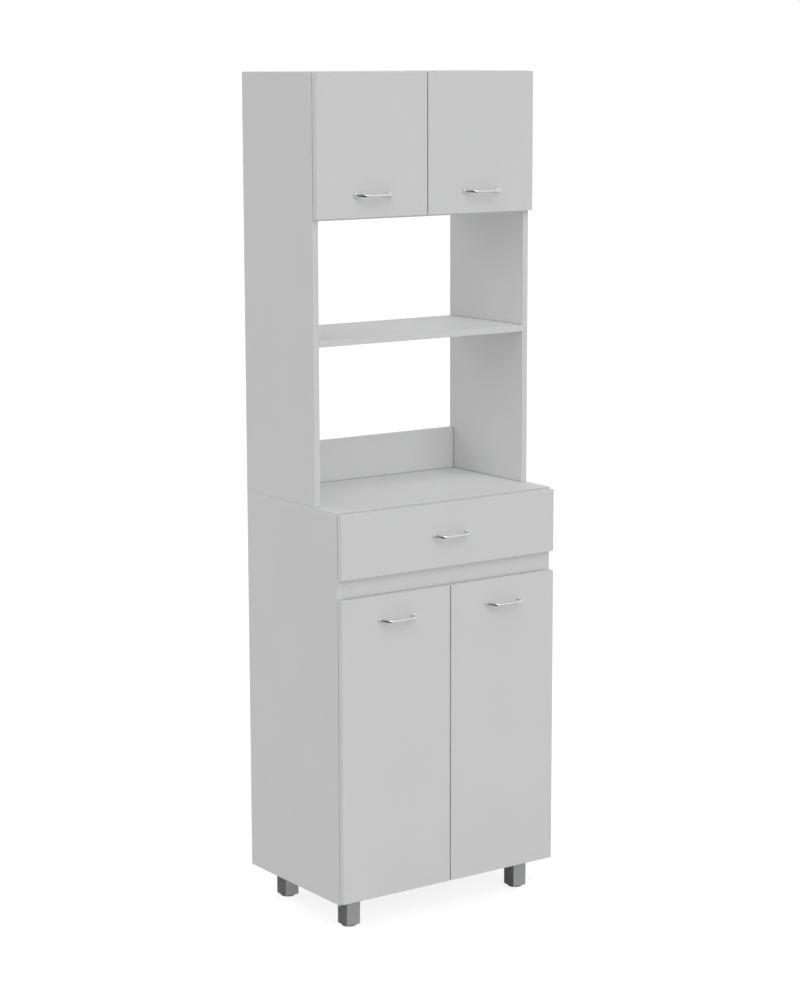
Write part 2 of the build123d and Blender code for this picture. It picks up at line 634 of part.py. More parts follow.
# Handles: a bright rod bent out to a rosette at each end
handle_foot = HANDLE_SPACING / 2
handle_corner = handle_foot - HANDLE_SPLAY
with BuildPart() as handle:
    with BuildLine() as rod_line:
        FilletPolyline(
            (-handle_foot, 0, 0),
            (-handle_corner, -HANDLE_BAR_REACH, 0),
            (handle_corner, -HANDLE_BAR_REACH, 0),
            (handle_foot, 0, 0),
            radius=HANDLE_BEND_RADIUS,
        )
    with BuildSketch(Plane(origin=rod_line.line @ 0, z_dir=rod_line.line % 0)):
        Circle(HANDLE_ROD_RADIUS)
    sweep()
    with BuildSketch(Plane.XZ):
        with Locations((-handle_foot, 0), (handle_foot, 0)):
            Circle(ROSETTE_RADIUS)
    extrude(amount=ROSETTE_HEIGHT, taper=ROSETTE_TAPER)
    split(bisect_by=Plane(origin=(0, 0, 0), z_dir=TO_FRONT), keep=Keep.TOP)
    with Locations(*facing(TO_BACK, [(-handle_foot, 0, 0), (handle_foot, 0, 0)])):
        Hole(HANDLE_THREAD_RADIUS, HANDLE_THREAD_DEPTH)

# Hinge pin: its ends are cut to the round of the cup that it is riveted across
cup_radius = CUP_BORE_RADIUS - CUP_CLEARANCE
floor_y = -CUP_FLOOR_DEPTH - CUP_WALL
with BuildPart() as hinge_pin:
    with BuildSketch(Plane.XY):
        Circle(HINGE_PIN_RADIUS)
    extrude(amount=CUP_BORE_RADIUS, both=True)
    with BuildSketch(Plane.XZ):
        with Locations((CUP_CENTRE, 0)):
            Circle(cup_radius)
    extrude(amount=CUP_BORE_RADIUS, both=True, mode=Mode.INTERSECT)

# Hinge cup: a pressed bowl with its pin across it and a flange that lies on the door's back face
with BuildPart() as hinge_cup:
    with BuildSketch(Plane(origin=(0, floor_y, 0), x_dir=TO_RIGHT, z_dir=TO_BACK)):
        with Locations((CUP_CENTRE, 0)):
            Circle(cup_radius)
    extrude(amount=HINGE_PIN_DEPTH - floor_y)
    with BuildSketch(Plane(origin=(0, HINGE_PIN_DEPTH, 0), x_dir=TO_RIGHT, z_dir=TO_BACK)):
        with Locations((CUP_CENTRE, 0)):
            Circle(CUP_BORE_RADIUS + FLANGE_OVERLAP)
        with Locations((CUP_CENTRE + FLANGE_OFFSET, 0)):
            RectangleRounded(FLANGE_WIDTH, FLANGE_LENGTH, FLANGE_WIDTH / 2 - EDGE_ROUND)
        with Locations(*[(CUP_CENTRE + FLANGE_OFFSET, way * CUP_SCREW_SPACING / 2) for way in (-1, 1)]):
            Circle(SCREW_HOLE_RADIUS, mode=Mode.SUBTRACT)
    extrude(amount=FLANGE_THICKNESS)
    with BuildSketch(Plane(origin=(0, -CUP_FLOOR_DEPTH, 0), x_dir=TO_RIGHT, z_dir=TO_BACK)):
        with Locations((CUP_CENTRE, 0)):
            Circle(cup_radius - CUP_WALL)
    extrude(amount=HINGE_PIN_DEPTH + CUP_FLOOR_DEPTH + FLANGE_THICKNESS, mode=Mode.SUBTRACT)
    add(hinge_pin.part)

# Hinge arm: its barrel turns on the pin, its neck rounds the rim of the cup and its tail sits on the plate
side_face = BOARD - SIDE_REVEAL - HINGE_PIN_INSET
rim_sweep = ((CUP_CENTRE - cup_radius + CUP_WALL) ** 2 + (HINGE_PIN_DEPTH + FLANGE_THICKNESS) ** 2) ** 0.5
plate_top = side_face + PLATE_THICKNESS
neck_inside = max(rim_sweep + NECK_CLEARANCE, plate_top + PLATE_BLOCK_RISE + HARDWARE_GAP)
arm_top = neck_inside + ARM_THICKNESS
arm_front = HINGE_PIN_DEPTH + DOOR_GAP + ARM_SHOULDER
arm_back = arm_front + ARM_LENGTH
block_top = neck_inside - HARDWARE_GAP
arm_middle = (arm_front + arm_back) / 2
plate_middle = HINGE_PIN_DEPTH + DOOR_GAP + PLATE_SETBACK
block_middle = plate_middle + (PLATE_BLOCK_BACK - PLATE_BLOCK_FRONT) / 2
arm_screws = [(plate_middle, 0), (plate_middle - ARM_SCREW_SPACING, 0)]
lip_middle = (ARM_WIDTH - ARM_THICKNESS) / 2
with BuildPart() as hinge_arm:
    with BuildSketch(Plane.XY.offset(-NECK_WIDTH / 2)):
        Circle(BARREL_RADIUS)
        with BuildLine():
            Polyline(
                (0, -BARREL_RADIUS),
                (arm_top, -BARREL_RADIUS),
                (arm_top, arm_back),
                (neck_inside, arm_back),
                (neck_inside, -BARREL_RADIUS + NECK_THICKNESS),
                (0, -BARREL_RADIUS + NECK_THICKNESS),
                close=True,
            )
        make_face()
        Circle(HINGE_PIN_RADIUS + HINGE_BORE_CLEARANCE, mode=Mode.SUBTRACT)
    extrude(amount=NECK_WIDTH)
    with BuildSketch(Plane(origin=(neck_inside, 0, 0), x_dir=TO_BACK, z_dir=TO_RIGHT)):
        with Locations((arm_middle, 0)):
            RectangleRounded(ARM_LENGTH, ARM_WIDTH, ARM_CORNER)
    extrude(amount=ARM_THICKNESS)
    with BuildSketch(Plane(origin=(neck_inside, 0, 0), x_dir=TO_BACK, z_dir=TO_RIGHT)):
        with Locations((arm_middle, -lip_middle), (arm_middle, lip_middle)):
            Rectangle(ARM_LENGTH - 2 * ARM_CORNER, ARM_THICKNESS)
    extrude(amount=-ARM_LIP)
    with BuildSketch(Plane(origin=(neck_inside, 0, 0), x_dir=TO_BACK, z_dir=TO_RIGHT)):
        with Locations(*arm_screws):
            SlotOverall(ARM_SLOT_LENGTH, 2 * ARM_HOLE_RADIUS)
    extrude(amount=ARM_THICKNESS, mode=Mode.SUBTRACT)

with BuildPart() as hinge_plate:
    with BuildSketch(Plane(origin=(side_face, 0, 0), x_dir=TO_BACK, z_dir=TO_RIGHT)):
        with Locations((plate_middle, 0)):
            RectangleRounded(PLATE_WING_WIDTH, PLATE_WING_LENGTH, PLATE_WING_WIDTH / 2 - EDGE_ROUND)
        with Locations((block_middle, 0)):
            Rectangle(PLATE_BLOCK_FRONT + PLATE_BLOCK_BACK, ARM_WIDTH)
        with Locations(*[(plate_middle, way * PLATE_SCREW_SPACING / 2) for way in (-1, 1)]):
            Circle(SCREW_HOLE_RADIUS, mode=Mode.SUBTRACT)
    extrude(amount=PLATE_THICKNESS)
    with BuildSketch(Plane(origin=(plate_top, 0, 0), x_dir=TO_BACK, z_dir=TO_RIGHT)):
        with Locations((block_middle, 0)):
            Rectangle(PLATE_BLOCK_FRONT + PLATE_BLOCK_BACK, ARM_WIDTH - 2 * ARM_THICKNESS - 2 * HARDWARE_GAP)
    extrude(amount=block_top - plate_top)
    with BuildSketch(Plane(origin=(side_face, 0, 0), x_dir=TO_BACK, z_dir=TO_RIGHT)):
        with Locations(*arm_screws):
            Circle(PILOT_RADIUS)
    extrude(amount=block_top - side_face, mode=Mode.SUBTRACT)


def place_hinges(prototype):
    """Make one sub-part of a hinge piece at all the hinges of the four doors."""
    with BuildPart() as group:
        with Locations(*(LOWER_PINS + UPPER_PINS)):
            add(prototype.part)
        mirror(about=Plane.YZ)
    return group


save(place_hinges(hinge_arm), "hinge_arms")
save(place_hinges(hinge_plate), "hinge_plates")


def make_front(x_span, y_back, z_span):
    """Make a door or drawer front with rounded edges, its back face at the given place."""
    blank = board(x_span, (y_back - BOARD, y_back), z_span)
    with BuildPart() as front:
        add(blank.part)
        fillet(front.faces().sort_by(Axis.Y)[0].edges(), EDGE_ROUND)
    return front


def make_door(carcass_front, z_span, pins, handle_z):
    """Make a left door with its cup bores, screw holes and handle holes."""
    y_back = carcass_front - DOOR_GAP
    blank = make_front((-X_DOOR_EDGE, -X_DOOR_FREE), y_back, z_span)
    x_cup = -X_PIN + CUP_CENTRE
    cups = [(x_cup, y_back, z) for _, _, z in pins]
    x_ears = x_cup + FLANGE_OFFSET
    screws = [(x_ears, y_back, z + way * CUP_SCREW_SPACING / 2) for _, _, z in pins for way in (-1, 1)]
    posts = [(X_DOOR_MIDDLE + way * HANDLE_SPACING / 2, y_back, handle_z) for way in (-1, 1)]
    with BuildPart() as door:
        add(blank.part)
        with Locations(*facing(TO_BACK, cups)):
            Hole(CUP_BORE_RADIUS, HINGE_PIN_DEPTH + CUP_FLOOR_DEPTH + CUP_WALL + CUP_CLEARANCE)
        with Locations(*facing(TO_BACK, screws)):
            Hole(PILOT_RADIUS, PILOT_DEPTH)
        with Locations(*facing(TO_BACK, posts)):
            Hole(HANDLE_HOLE_RADIUS, BOARD)
    return door


def make_door_set(cabinet, carcass_front, z_span, pins, handle_z):
    """Make both doors of a cabinet with their hinge cups and handles."""
    save_both(make_door(carcass_front, z_span, pins, handle_z), cabinet + "_{}_door")
    save_both(place_copies(hinge_cup, [Location(point) for point in pins]), cabinet + "_{}_hinge_cups")
    handle_place = Location((X_DOOR_MIDDLE, carcass_front - DOOR_GAP - BOARD, handle_z))
    save_both(place_copies(handle, [handle_place]), cabinet + "_{}_handle")


make_door_set(
    "base", Y_BASE_FRONT, (Z_LOWER_DOOR, Z_LOWER_DOOR_TOP), LOWER_PINS, Z_LOWER_DOOR_TOP - LOWER_HANDLE_DROP
)
make_door_set(
    "upper", Y_HUTCH_FRONT, (Z_UPPER_DOOR, Z_UPPER_DOOR_TOP), UPPER_PINS, Z_UPPER_DOOR + UPPER_HANDLE_RISE
)

# Drawer
drawer_back_y = Y_BASE_FRONT - DOOR_GAP
drawer_end_y = drawer_back_y + DRAWER_SIDE_LENGTH
drawer_handle_z = (Z_DRAWER_FRONT + Z_DRAWER_TOP) / 2
z_drawer_floor = Z_DRAWER_BOX + DRAWER_BOTTOM_RISE
groove_z = z_drawer_floor - GROOVE_CLEARANCE
groove_height = DRAWER_BOTTOM + 2 * GROOVE_CLEARANCE
drawer_blank = make_front((-X_DOOR_EDGE, X_DOOR_EDGE), drawer_back_y, (Z_DRAWER_FRONT, Z_DRAWER_TOP))
with BuildPart() as drawer_front:
    add(drawer_blank.part)
    with BuildSketch(Plane.XY.offset(groove_z)):
        with Locations((0, drawer_back_y)):
            Rectangle(2 * X_DRAWER_OUTER, 2 * DRAWER_GROOVE_DEPTH)
    extrude(amount=groove_height, mode=Mode.SUBTRACT)
    bore_for_bolts(drawer_joints + mirrored(drawer_joints))
    drawer_posts = [(way * HANDLE_SPACING / 2, drawer_back_y, drawer_handle_z) for way in (-1, 1)]
    with Locations(*facing(TO_BACK, drawer_posts)):
        Hole(HANDLE_HOLE_RADIUS, BOARD)
save(drawer_front, "drawer_front")
drawer_handle_place = Location((0, drawer_back_y - BOARD, drawer_handle_z))
save(place_copies(handle, [drawer_handle_place]), "drawer_handle")

drawer_side_blank = board(
    (-X_DRAWER_OUTER, -X_DRAWER_INNER),
    (drawer_back_y, drawer_end_y),
    (Z_DRAWER_BOX, Z_DRAWER_BOX + DRAWER_SIDE_HEIGHT),
)
z_back_screws = [z_drawer_floor + DRAWER_BOTTOM + rise for rise in DRAWER_SCREW_RISES]
back_screws = [(-X_DRAWER_OUTER, drawer_end_y - BOARD / 2, z) for z in z_back_screws]
with BuildPart() as drawer_side:
    add(drawer_side_blank.part)
    with BuildSketch(Plane.XY.offset(groove_z)):
        with Locations((-X_DRAWER_INNER, (drawer_back_y + drawer_end_y) / 2)):
            Rectangle(2 * DRAWER_GROOVE_DEPTH, DRAWER_SIDE_LENGTH)
    extrude(amount=groove_height, mode=Mode.SUBTRACT)
    bore_for_cams(drawer_joints)
    with Locations(*facing(TO_LEFT, back_screws)):
        Hole(SCREW_HOLE_RADIUS, BOARD)
    lower_outer_edge = drawer_side.edges().filter_by(Axis.Y).group_by(Axis.Z)[0].sort_by(Axis.X)[0]
    fillet(lower_outer_edge, RUNNER_BEND)
save_both(drawer_side, "drawer_{}_side")

drawer_back_blank = board(
    (-X_DRAWER_INNER, X_DRAWER_INNER),
    (drawer_end_y - BOARD, drawer_end_y),
    (z_drawer_floor + DRAWER_BOTTOM + GROOVE_CLEARANCE, Z_DRAWER_BOX + DRAWER_SIDE_HEIGHT),
)
back_screw_ends = facing(TO_LEFT, [(-X_DRAWER_INNER, y, z) for _, y, z in back_screws])
back_screw_ends += facing(TO_RIGHT, [(X_DRAWER_INNER, y, z) for _, y, z in back_screws])
with BuildPart() as drawer_back:
    add(drawer_back_blank.part)
    with Locations(*back_screw_ends):
        Hole(PILOT_RADIUS, PILOT_DEPTH)
save(drawer_back, "drawer_back")

panel_reach = DRAWER_GROOVE_DEPTH - PANEL_EDGE_GAP
drawer_bottom = board(
    (-X_DRAWER_INNER - panel_reach, X_DRAWER_INNER + panel_reach),
    (drawer_back_y - panel_reach, drawer_end_y - PANEL_EDGE_GAP),
    (z_drawer_floor, z_drawer_floor + DRAWER_BOTTOM),
)
save(drawer_bottom, "drawer_bottom")

drawer_all_joints = drawer_joints + mirrored(drawer_joints)
with BuildPart() as drawer_cams:
    with Locations(*[joint.cam_plane() for joint in drawer_all_joints]):
        add(cam.part)
    with Locations(*[joint.bolt_plane() for joint in drawer_all_joints]):
        add(cam_bolt.part)
save(drawer_cams, "drawer_cam_fittings")


# Runners: a channel on the cabinet with a roller at its front, an angle on the drawer with one at its rear
def bent_sheet(points, y_start, length):
    """Make a strip of bent sheet along +Y from the middle line of its section."""
    with BuildPart() as sheet:
        with BuildSketch(Plane(origin=(0, y_start, 0), x_dir=TO_RIGHT, z_dir=TO_FRONT)):
            with BuildLine() as section:
                FilletPolyline(*points, radius=RUNNER_BEND)
            trace(section.line, RUNNER_SHEET)
        extrude(amount=-length)
    return sheet


def axle(x_start, x_end, way, y, z):
    """Make a riveted axle along X with a head at its end."""
    with BuildPart() as stud:
        with BuildSketch(Plane(origin=(x_start, y, z), z_dir=(way, 0, 0))):
            Circle(AXLE_RADIUS)
        extrude(amount=abs(x_end - x_start))
        with BuildSketch(Plane(origin=(x_end, y, z), z_dir=(way, 0, 0))):
            Circle(AXLE_HEAD_RADIUS)
        extrude(amount=AXLE_HEAD_HEIGHT)
    return stud


def roller(radius, width, x_low, y, z):
    """Make a moulded roller with bevelled rims, its axis along X."""
    bore = AXLE_RADIUS + ROLLER_BORE_CLEARANCE
    with BuildPart() as wheel:
        with BuildSketch(Plane(origin=(x_low, y, z), x_dir=TO_RIGHT, z_dir=TO_FRONT)):
            with BuildLine():
                Polyline(
                    (0, bore),
                    (0, radius - ROLLER_BEVEL),
                    (ROLLER_BEVEL, radius),
                    (width - ROLLER_BEVEL, radius),
                    (width, radius - ROLLER_BEVEL),
                    (width, bore),
                    close=True,
                )
            make_face()
        revolve(axis=Axis((x_low, y, z), TO_RIGHT))
    return wheel


half_sheet = RUNNER_SHEET / 2
cabinet_web = -X_INNER + half_sheet
cabinet_web_face = -X_INNER + RUNNER_SHEET
drawer_web = -X_DRAWER_OUTER - half_sheet
drawer_web_face = -X_DRAWER_OUTER - RUNNER_SHEET
channel_lip = drawer_web_face - CABINET_LIP_GAP
drawer_lip = cabinet_web_face + DRAWER_LIP_GAP
roller_width = drawer_web_face - cabinet_web_face - ROLLER_SIDE_SPACE
cabinet_strip = bent_sheet(
    [
        (channel_lip, Z_CHANNEL - half_sheet),
        (cabinet_web, Z_CHANNEL - half_sheet),
        (cabinet_web, Z_CHANNEL + CHANNEL_HEIGHT + half_sheet),
        (channel_lip, Z_CHANNEL + CHANNEL_HEIGHT + half_sheet),
    ],
    RUNNER_FRONT,
    RUNNER_LENGTH,
)
cabinet_axle_end = cabinet_web_face + AXLE_SHOULDER + roller_width + ROLLER_CLEARANCE
cabinet_axle = axle(cabinet_web, cabinet_axle_end, 1, Y_CABINET_ROLLER, Z_CABINET_ROLLER)
# A ridge across the channel's floor stops the drawer's roller, which touches it this far before its middle
roller_height = DRAWER_ROLLER_RADIUS + ROLLER_CLEARANCE
stop_reach = ((DRAWER_ROLLER_RADIUS + STOP_RADIUS) ** 2 - roller_height ** 2) ** 0.5
runner_screw_planes = facing(TO_RIGHT, [(cabinet_web_face, y, z) for _, y, z in runner_screw_points])
y_stop = Y_DRAWER_ROLLER - DRAWER_TRAVEL - stop_reach - STOP_GAP
with BuildPart() as cabinet_runner:
    add(cabinet_strip.part)
    add(cabinet_axle.part)
    with BuildSketch(Plane(origin=(cabinet_web_face, y_stop, Z_CHANNEL), x_dir=TO_BACK, z_dir=TO_RIGHT)):
        Circle(STOP_RADIUS)
        with Locations((0, -half_sheet)):
            Rectangle(2 * STOP_RADIUS, STOP_RADIUS, align=(Align.CENTER, Align.MAX), mode=Mode.SUBTRACT)
    extrude(amount=channel_lip - cabinet_web_face - half_sheet)
    with Locations(*runner_screw_planes):
        Hole(SCREW_HOLE_RADIUS, 2 * RUNNER_SHEET)
save_both(cabinet_runner, "cabinet_{}_runner")

roller_space = DRAWER_ROLLER_INSET + DRAWER_ROLLER_RADIUS + DRAWER_LIP_GAP
y_member_end = RUNNER_FRONT + DRAWER_MEMBER_LENGTH
member_foot = -X_DRAWER_OUTER + DRAWER_MEMBER_FOOT
drawer_angle = bent_sheet(
    [
        (member_foot, Z_DRAWER_BOX - half_sheet),
        (drawer_web, Z_DRAWER_BOX - half_sheet),
        (drawer_web, Z_LIP + half_sheet),
        (drawer_lip, Z_LIP + half_sheet),
    ],
    RUNNER_FRONT,
    DRAWER_MEMBER_LENGTH,
)
drawer_axle_end = drawer_web_face - AXLE_SHOULDER - roller_width - ROLLER_CLEARANCE
drawer_axle = axle(drawer_web, drawer_axle_end, -1, Y_DRAWER_ROLLER, Z_DRAWER_ROLLER)
with BuildPart() as drawer_runner:
    add(drawer_angle.part)
    with BuildSketch(Plane.XY.offset(Z_LIP - RUNNER_BEND)):
        with Locations((drawer_web_face, y_member_end)):
            Rectangle(RUNNER_SPACE, roller_space, align=(Align.MAX, Align.MAX))
    extrude(amount=2 * RUNNER_SHEET + RUNNER_BEND, mode=Mode.SUBTRACT)
    add(drawer_axle.part)
save_both(drawer_runner, "drawer_{}_runner")

cabinet_roller_x = cabinet_web_face + AXLE_SHOULDER
drawer_roller_x = drawer_web_face - AXLE_SHOULDER - roller_width
front_roller = roller(
    CABINET_ROLLER_RADIUS, roller_width, cabinet_roller_x, Y_CABINET_ROLLER, Z_CABINET_ROLLER
)
rear_roller = roller(
    DRAWER_ROLLER_RADIUS, roller_width, drawer_roller_x, Y_DRAWER_ROLLER, Z_DRAWER_ROLLER
)
for wheel, name in ((front_roller, "cabinet_rollers"), (rear_roller, "drawer_rollers")):
    with BuildPart() as pair:
        add(wheel.part)
        mirror(about=Plane.YZ)
    save(pair, name)
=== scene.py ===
"""Looks, light and camera for a tall white kitchen pantry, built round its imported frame.

Everything is in metres, in the frame's own axes: +Z is up and the doors face -Y.
"""
import logging
import math
from dataclasses import dataclass
from enum import Enum
from typing import Callable, Iterable, Sequence

import bmesh
import bpy
from mathutils import Matrix, Vector


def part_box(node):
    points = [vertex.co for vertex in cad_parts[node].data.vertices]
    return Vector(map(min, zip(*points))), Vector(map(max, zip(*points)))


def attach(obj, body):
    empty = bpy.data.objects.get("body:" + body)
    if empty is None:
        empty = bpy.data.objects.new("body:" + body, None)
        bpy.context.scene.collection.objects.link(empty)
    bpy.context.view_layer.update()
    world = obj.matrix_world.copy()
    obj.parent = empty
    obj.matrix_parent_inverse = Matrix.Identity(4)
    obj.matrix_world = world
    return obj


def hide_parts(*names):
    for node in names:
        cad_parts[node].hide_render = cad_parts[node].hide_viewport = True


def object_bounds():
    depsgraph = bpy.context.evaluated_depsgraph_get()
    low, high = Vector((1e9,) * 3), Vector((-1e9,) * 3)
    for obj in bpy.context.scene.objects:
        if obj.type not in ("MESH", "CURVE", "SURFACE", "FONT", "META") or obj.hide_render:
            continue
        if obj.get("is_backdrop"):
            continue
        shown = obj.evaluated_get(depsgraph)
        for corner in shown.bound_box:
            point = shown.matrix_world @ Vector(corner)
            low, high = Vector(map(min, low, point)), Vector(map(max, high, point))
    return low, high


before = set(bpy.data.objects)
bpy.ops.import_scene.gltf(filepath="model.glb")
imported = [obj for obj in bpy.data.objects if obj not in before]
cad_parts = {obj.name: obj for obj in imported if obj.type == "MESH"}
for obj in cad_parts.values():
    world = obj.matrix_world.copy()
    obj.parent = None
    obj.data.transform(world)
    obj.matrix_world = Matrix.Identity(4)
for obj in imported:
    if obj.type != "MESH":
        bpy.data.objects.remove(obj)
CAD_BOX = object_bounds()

LOG = logging.getLogger("pantry")
MM = 0.001
HANDLE_SPACING = 92 * MM
MERGE_DISTANCE = 1e-7
NOISE_LOW = 0.3
NOISE_HIGH = 0.7

Colour = tuple[float, float, float]
Point = tuple[float, float, float]


class Side(Enum):
    """A side of the cabinet, with the sign of its X axis."""

    LEFT = -1
    RIGHT = 1


class Effect(Enum):
    """The surface effects that several finishes share, each one a node group."""

    # Painted shade: ambient-occlusion darkening where pieces meet, mixed into the colour
    FACE = "Pressed face"
    WEAR = "Edge wear"
    SHADE = "Painted joint shade"
    CORE = "Board core"
    STREAKS = "Drawn streaks"


class Graph:
    """Adds and joins the nodes of one node tree."""

    def __init__(self, tree: bpy.types.NodeTree) -> None:
        """Keep the tree that the nodes go into."""
        self.tree = tree

    def add(self, kind: str, settings: dict | None = None, inputs: dict | None = None) -> bpy.types.Node:
        """Add one node.

        Args:
            kind: The node's type name.
            settings: Properties of the node itself.
            inputs: Values or source sockets by input name or number.

        Returns:
            The new node.
        """
        node = self.tree.nodes.new(kind)
        for name, value in (settings or {}).items():
            setattr(node, name, value)
        for name, value in (inputs or {}).items():
            if isinstance(value, bpy.types.NodeSocket):
                self.tree.links.new(value, node.inputs[name])
            else:
                node.inputs[name].default_value = value
        return node

    def math(
        self, operation: str, first: object, second: object = 0.0, clamp: bool = False
    ) -> bpy.types.NodeSocket:
        """Add a math node.

        Args:
            operation: The operation's name.
            first: The first value or socket.
            second: The second value or socket.
            clamp: Whether the result is kept from 0 to 1.

        Returns:
            The socket with the result.
        """
        node = self.add("ShaderNodeMath", {"operation": operation, "use_clamp": clamp}, {0: first, 1: second})
        return node.outputs[0]

    def noise(self, scale: object, detail: float, vector: bpy.types.NodeSocket) -> bpy.types.NodeSocket:
        """Add a noise texture and return its factor.

        Args:
            scale: The noise's scale, as a value or socket.
            detail: The number of finer layers.
            vector: The coordinates it reads.

        Returns:
            The socket with values about 0.5.
        """
        node = self.add("ShaderNodeTexNoise", None, {"Scale": scale, "Detail": detail, "Vector": vector})
        return node.outputs["Fac"]

    def spread(self, value: bpy.types.NodeSocket, low: float, high: float) -> bpy.types.NodeSocket:
        """Map noise values about 0.5 to a range.

        Args:
            value: The noise's factor.
            low: The result at NOISE_LOW, which few noise values fall below.
            high: The result at NOISE_HIGH, which few noise values pass.

        Returns:
            The socket with the mapped value.
        """
        limits = {"From Min": NOISE_LOW, "From Max": NOISE_HIGH, "To Min": low, "To Max": high}
        return self.add("ShaderNodeMapRange", None, {"Value": value, **limits}).outputs["Result"]

    def mix(self, factor: object, first: object, second: object) -> bpy.types.NodeSocket:
        """Mix two colours.

        Args:
            factor: How much of the second is used.
            first: The first colour or socket.
            second: The second colour or socket.

        Returns:
            The socket with the mixed colour.
        """
        node = self.add("ShaderNodeMix", {"data_type": "RGBA"})
        for name, value in (("Factor_Float", factor), ("A_Color", first), ("B_Color", second)):
            socket = next(s for s in node.inputs if s.identifier == name)
            if isinstance(value, bpy.types.NodeSocket):
                self.tree.links.new(value, socket)
            else:
                socket.default_value = value if isinstance(value, float) else (*value, 1.0)
        return next(s for s in node.outputs if s.identifier == "Result_Color")


class EffectLibrary:
    """Builds each shared effect once, as a node group, and hands it to the finishes.

    Attributes:
        wear_gain: How much the edge mask is raised, where its noise is low and where it is high.
        shade_gain: How much the mask of painted joint shade is raised.
        front_normal_y: Faces whose normal has a lower Y look forward.
        back_normal_y: Faces whose normal has a higher Y look back.
        streak_stretch: The scale of the coordinates on each axis, which draws the streaks along X.
    """

    wear_gain: tuple[float, float] = (2.0, 6.0)
    shade_gain: float = 2.0
    front_normal_y: float = -0.5
    back_normal_y: float = 0.9
    streak_stretch: Point = (0.08, 1.0, 1.0)

    def __init__(self) -> None:
        """Start with no groups made."""
        self.groups: dict[Effect, bpy.types.NodeTree] = {}

    def get(self, effect: Effect) -> bpy.types.NodeTree:
        """Return the group of an effect, and build it the first time.

        Args:
            effect: The wanted effect.

        Returns:
            Its node group.
        """
        if effect not in self.groups:
            builders: dict[Effect, Callable[[], bpy.types.NodeTree]] = {
                Effect.FACE: self._face,
                Effect.WEAR: self._wear,
                Effect.SHADE: self._shade,
                Effect.CORE: self._core,
                Effect.STREAKS: self._streaks,
            }
            self.groups[effect] = builders[effect]()
        return self.groups[effect]

    def place(self, graph: Graph, effect: Effect, values: dict[str, float]) -> bpy.types.Node:
        """Put an effect's group into a material.

        Args:
            graph: The material's graph.
            effect: The wanted effect.
            values: The group's inputs by name.

        Returns:
            The group node.
        """
        return graph.add("ShaderNodeGroup", {"node_tree": self.get(effect)}, values)

    @staticmethod
    def _open(
        effect: Effect, inputs: Sequence[str], outputs: Sequence[str]
    ) -> tuple[Graph, bpy.types.Node]:
        """Make an empty group with sockets for single numbers.

        Args:
            effect: The effect, which names the group.
            inputs: The names of its inputs.
            outputs: The names of its outputs.

        Returns:
            The group's graph and its input node.
        """
        tree = bpy.data.node_groups.new(effect.value, "ShaderNodeTree")
        for name in inputs:
            tree.interface.new_socket(name=name, in_out="INPUT", socket_type="NodeSocketFloat")
        for name in outputs:
            tree.interface.new_socket(name=name, in_out="OUTPUT", socket_type="NodeSocketFloat")
        graph = Graph(tree)
        return graph, graph.add("NodeGroupInput")

    def _face(self) -> bpy.types.NodeTree:
        """Build the faint dimples and cloudy tone of a pressed or moulded face.

        Returns:
            The finished group.
        """
        graph, given = self._open(Effect.FACE, ("Dimple scale", "Cloud scale"), ("Height", "Tone"))
        place = graph.add("ShaderNodeTexCoord").outputs["Object"]
        fine = graph.noise(given.outputs["Dimple scale"], detail=2.0, vector=place)
        broad = graph.noise(given.outputs["Cloud scale"], detail=3.0, vector=place)
        tone = graph.spread(broad, 0.0, 1.0)
        graph.add("NodeGroupOutput", None, {"Height": fine, "Tone": tone})
        return graph.tree

    def _wear(self) -> bpy.types.NodeTree:
        """Build a mask that is high along edges and broken up by noise.

        Returns:
            The finished group.
        """
        graph, given = self._open(Effect.WEAR, ("Width", "Break up"), ("Mask",))
        rounded = graph.add("ShaderNodeBevel", {"samples": 4}, {"Radius": given.outputs["Width"]})
        plain = graph.add("ShaderNodeNewGeometry")
        inputs = {0: rounded.outputs["Normal"], 1: plain.outputs["Normal"]}
        dot = graph.add("ShaderNodeVectorMath", {"operation": "DOT_PRODUCT"}, inputs)
        bend = graph.math("SUBTRACT", 1.0, dot.outputs["Value"])
        place = graph.add("ShaderNodeTexCoord").outputs["Object"]
        noise = graph.noise(given.outputs["Break up"], detail=4.0, vector=place)
        broken = graph.spread(noise, *self.wear_gain)
        graph.add("NodeGroupOutput", None, {"Mask": graph.math("MULTIPLY", bend, broken, clamp=True)})
        return graph.tree

    def _shade(self) -> bpy.types.NodeTree:
        """Build a mask of painted shade, from ambient occlusion, that is high in the narrow lines where
        pieces meet.

        Returns:
            The finished group.
        """
        graph, given = self._open(Effect.SHADE, ("Reach", "Front edges"), ("Mask",))
        # Painted shade: occlusion within the reach darkens the colour in joints and corners
        near = graph.add("ShaderNodeAmbientOcclusion", {"samples": 8}, {"Distance": given.outputs["Reach"]})
        closed = graph.math("SUBTRACT", 1.0, near.outputs["AO"])
        closed = graph.math("MULTIPLY", closed, self.shade_gain, clamp=True)
        coordinates = graph.add("ShaderNodeTexCoord")
        normal = graph.add("ShaderNodeSeparateXYZ", None, {0: coordinates.outputs["Normal"]})
        others = graph.math("GREATER_THAN", normal.outputs["Y"], self.front_normal_y)
        kept = graph.math("MAXIMUM", others, given.outputs["Front edges"])
        graph.add("NodeGroupOutput", None, {"Mask": graph.math("MULTIPLY", closed, kept)})
        return graph.tree

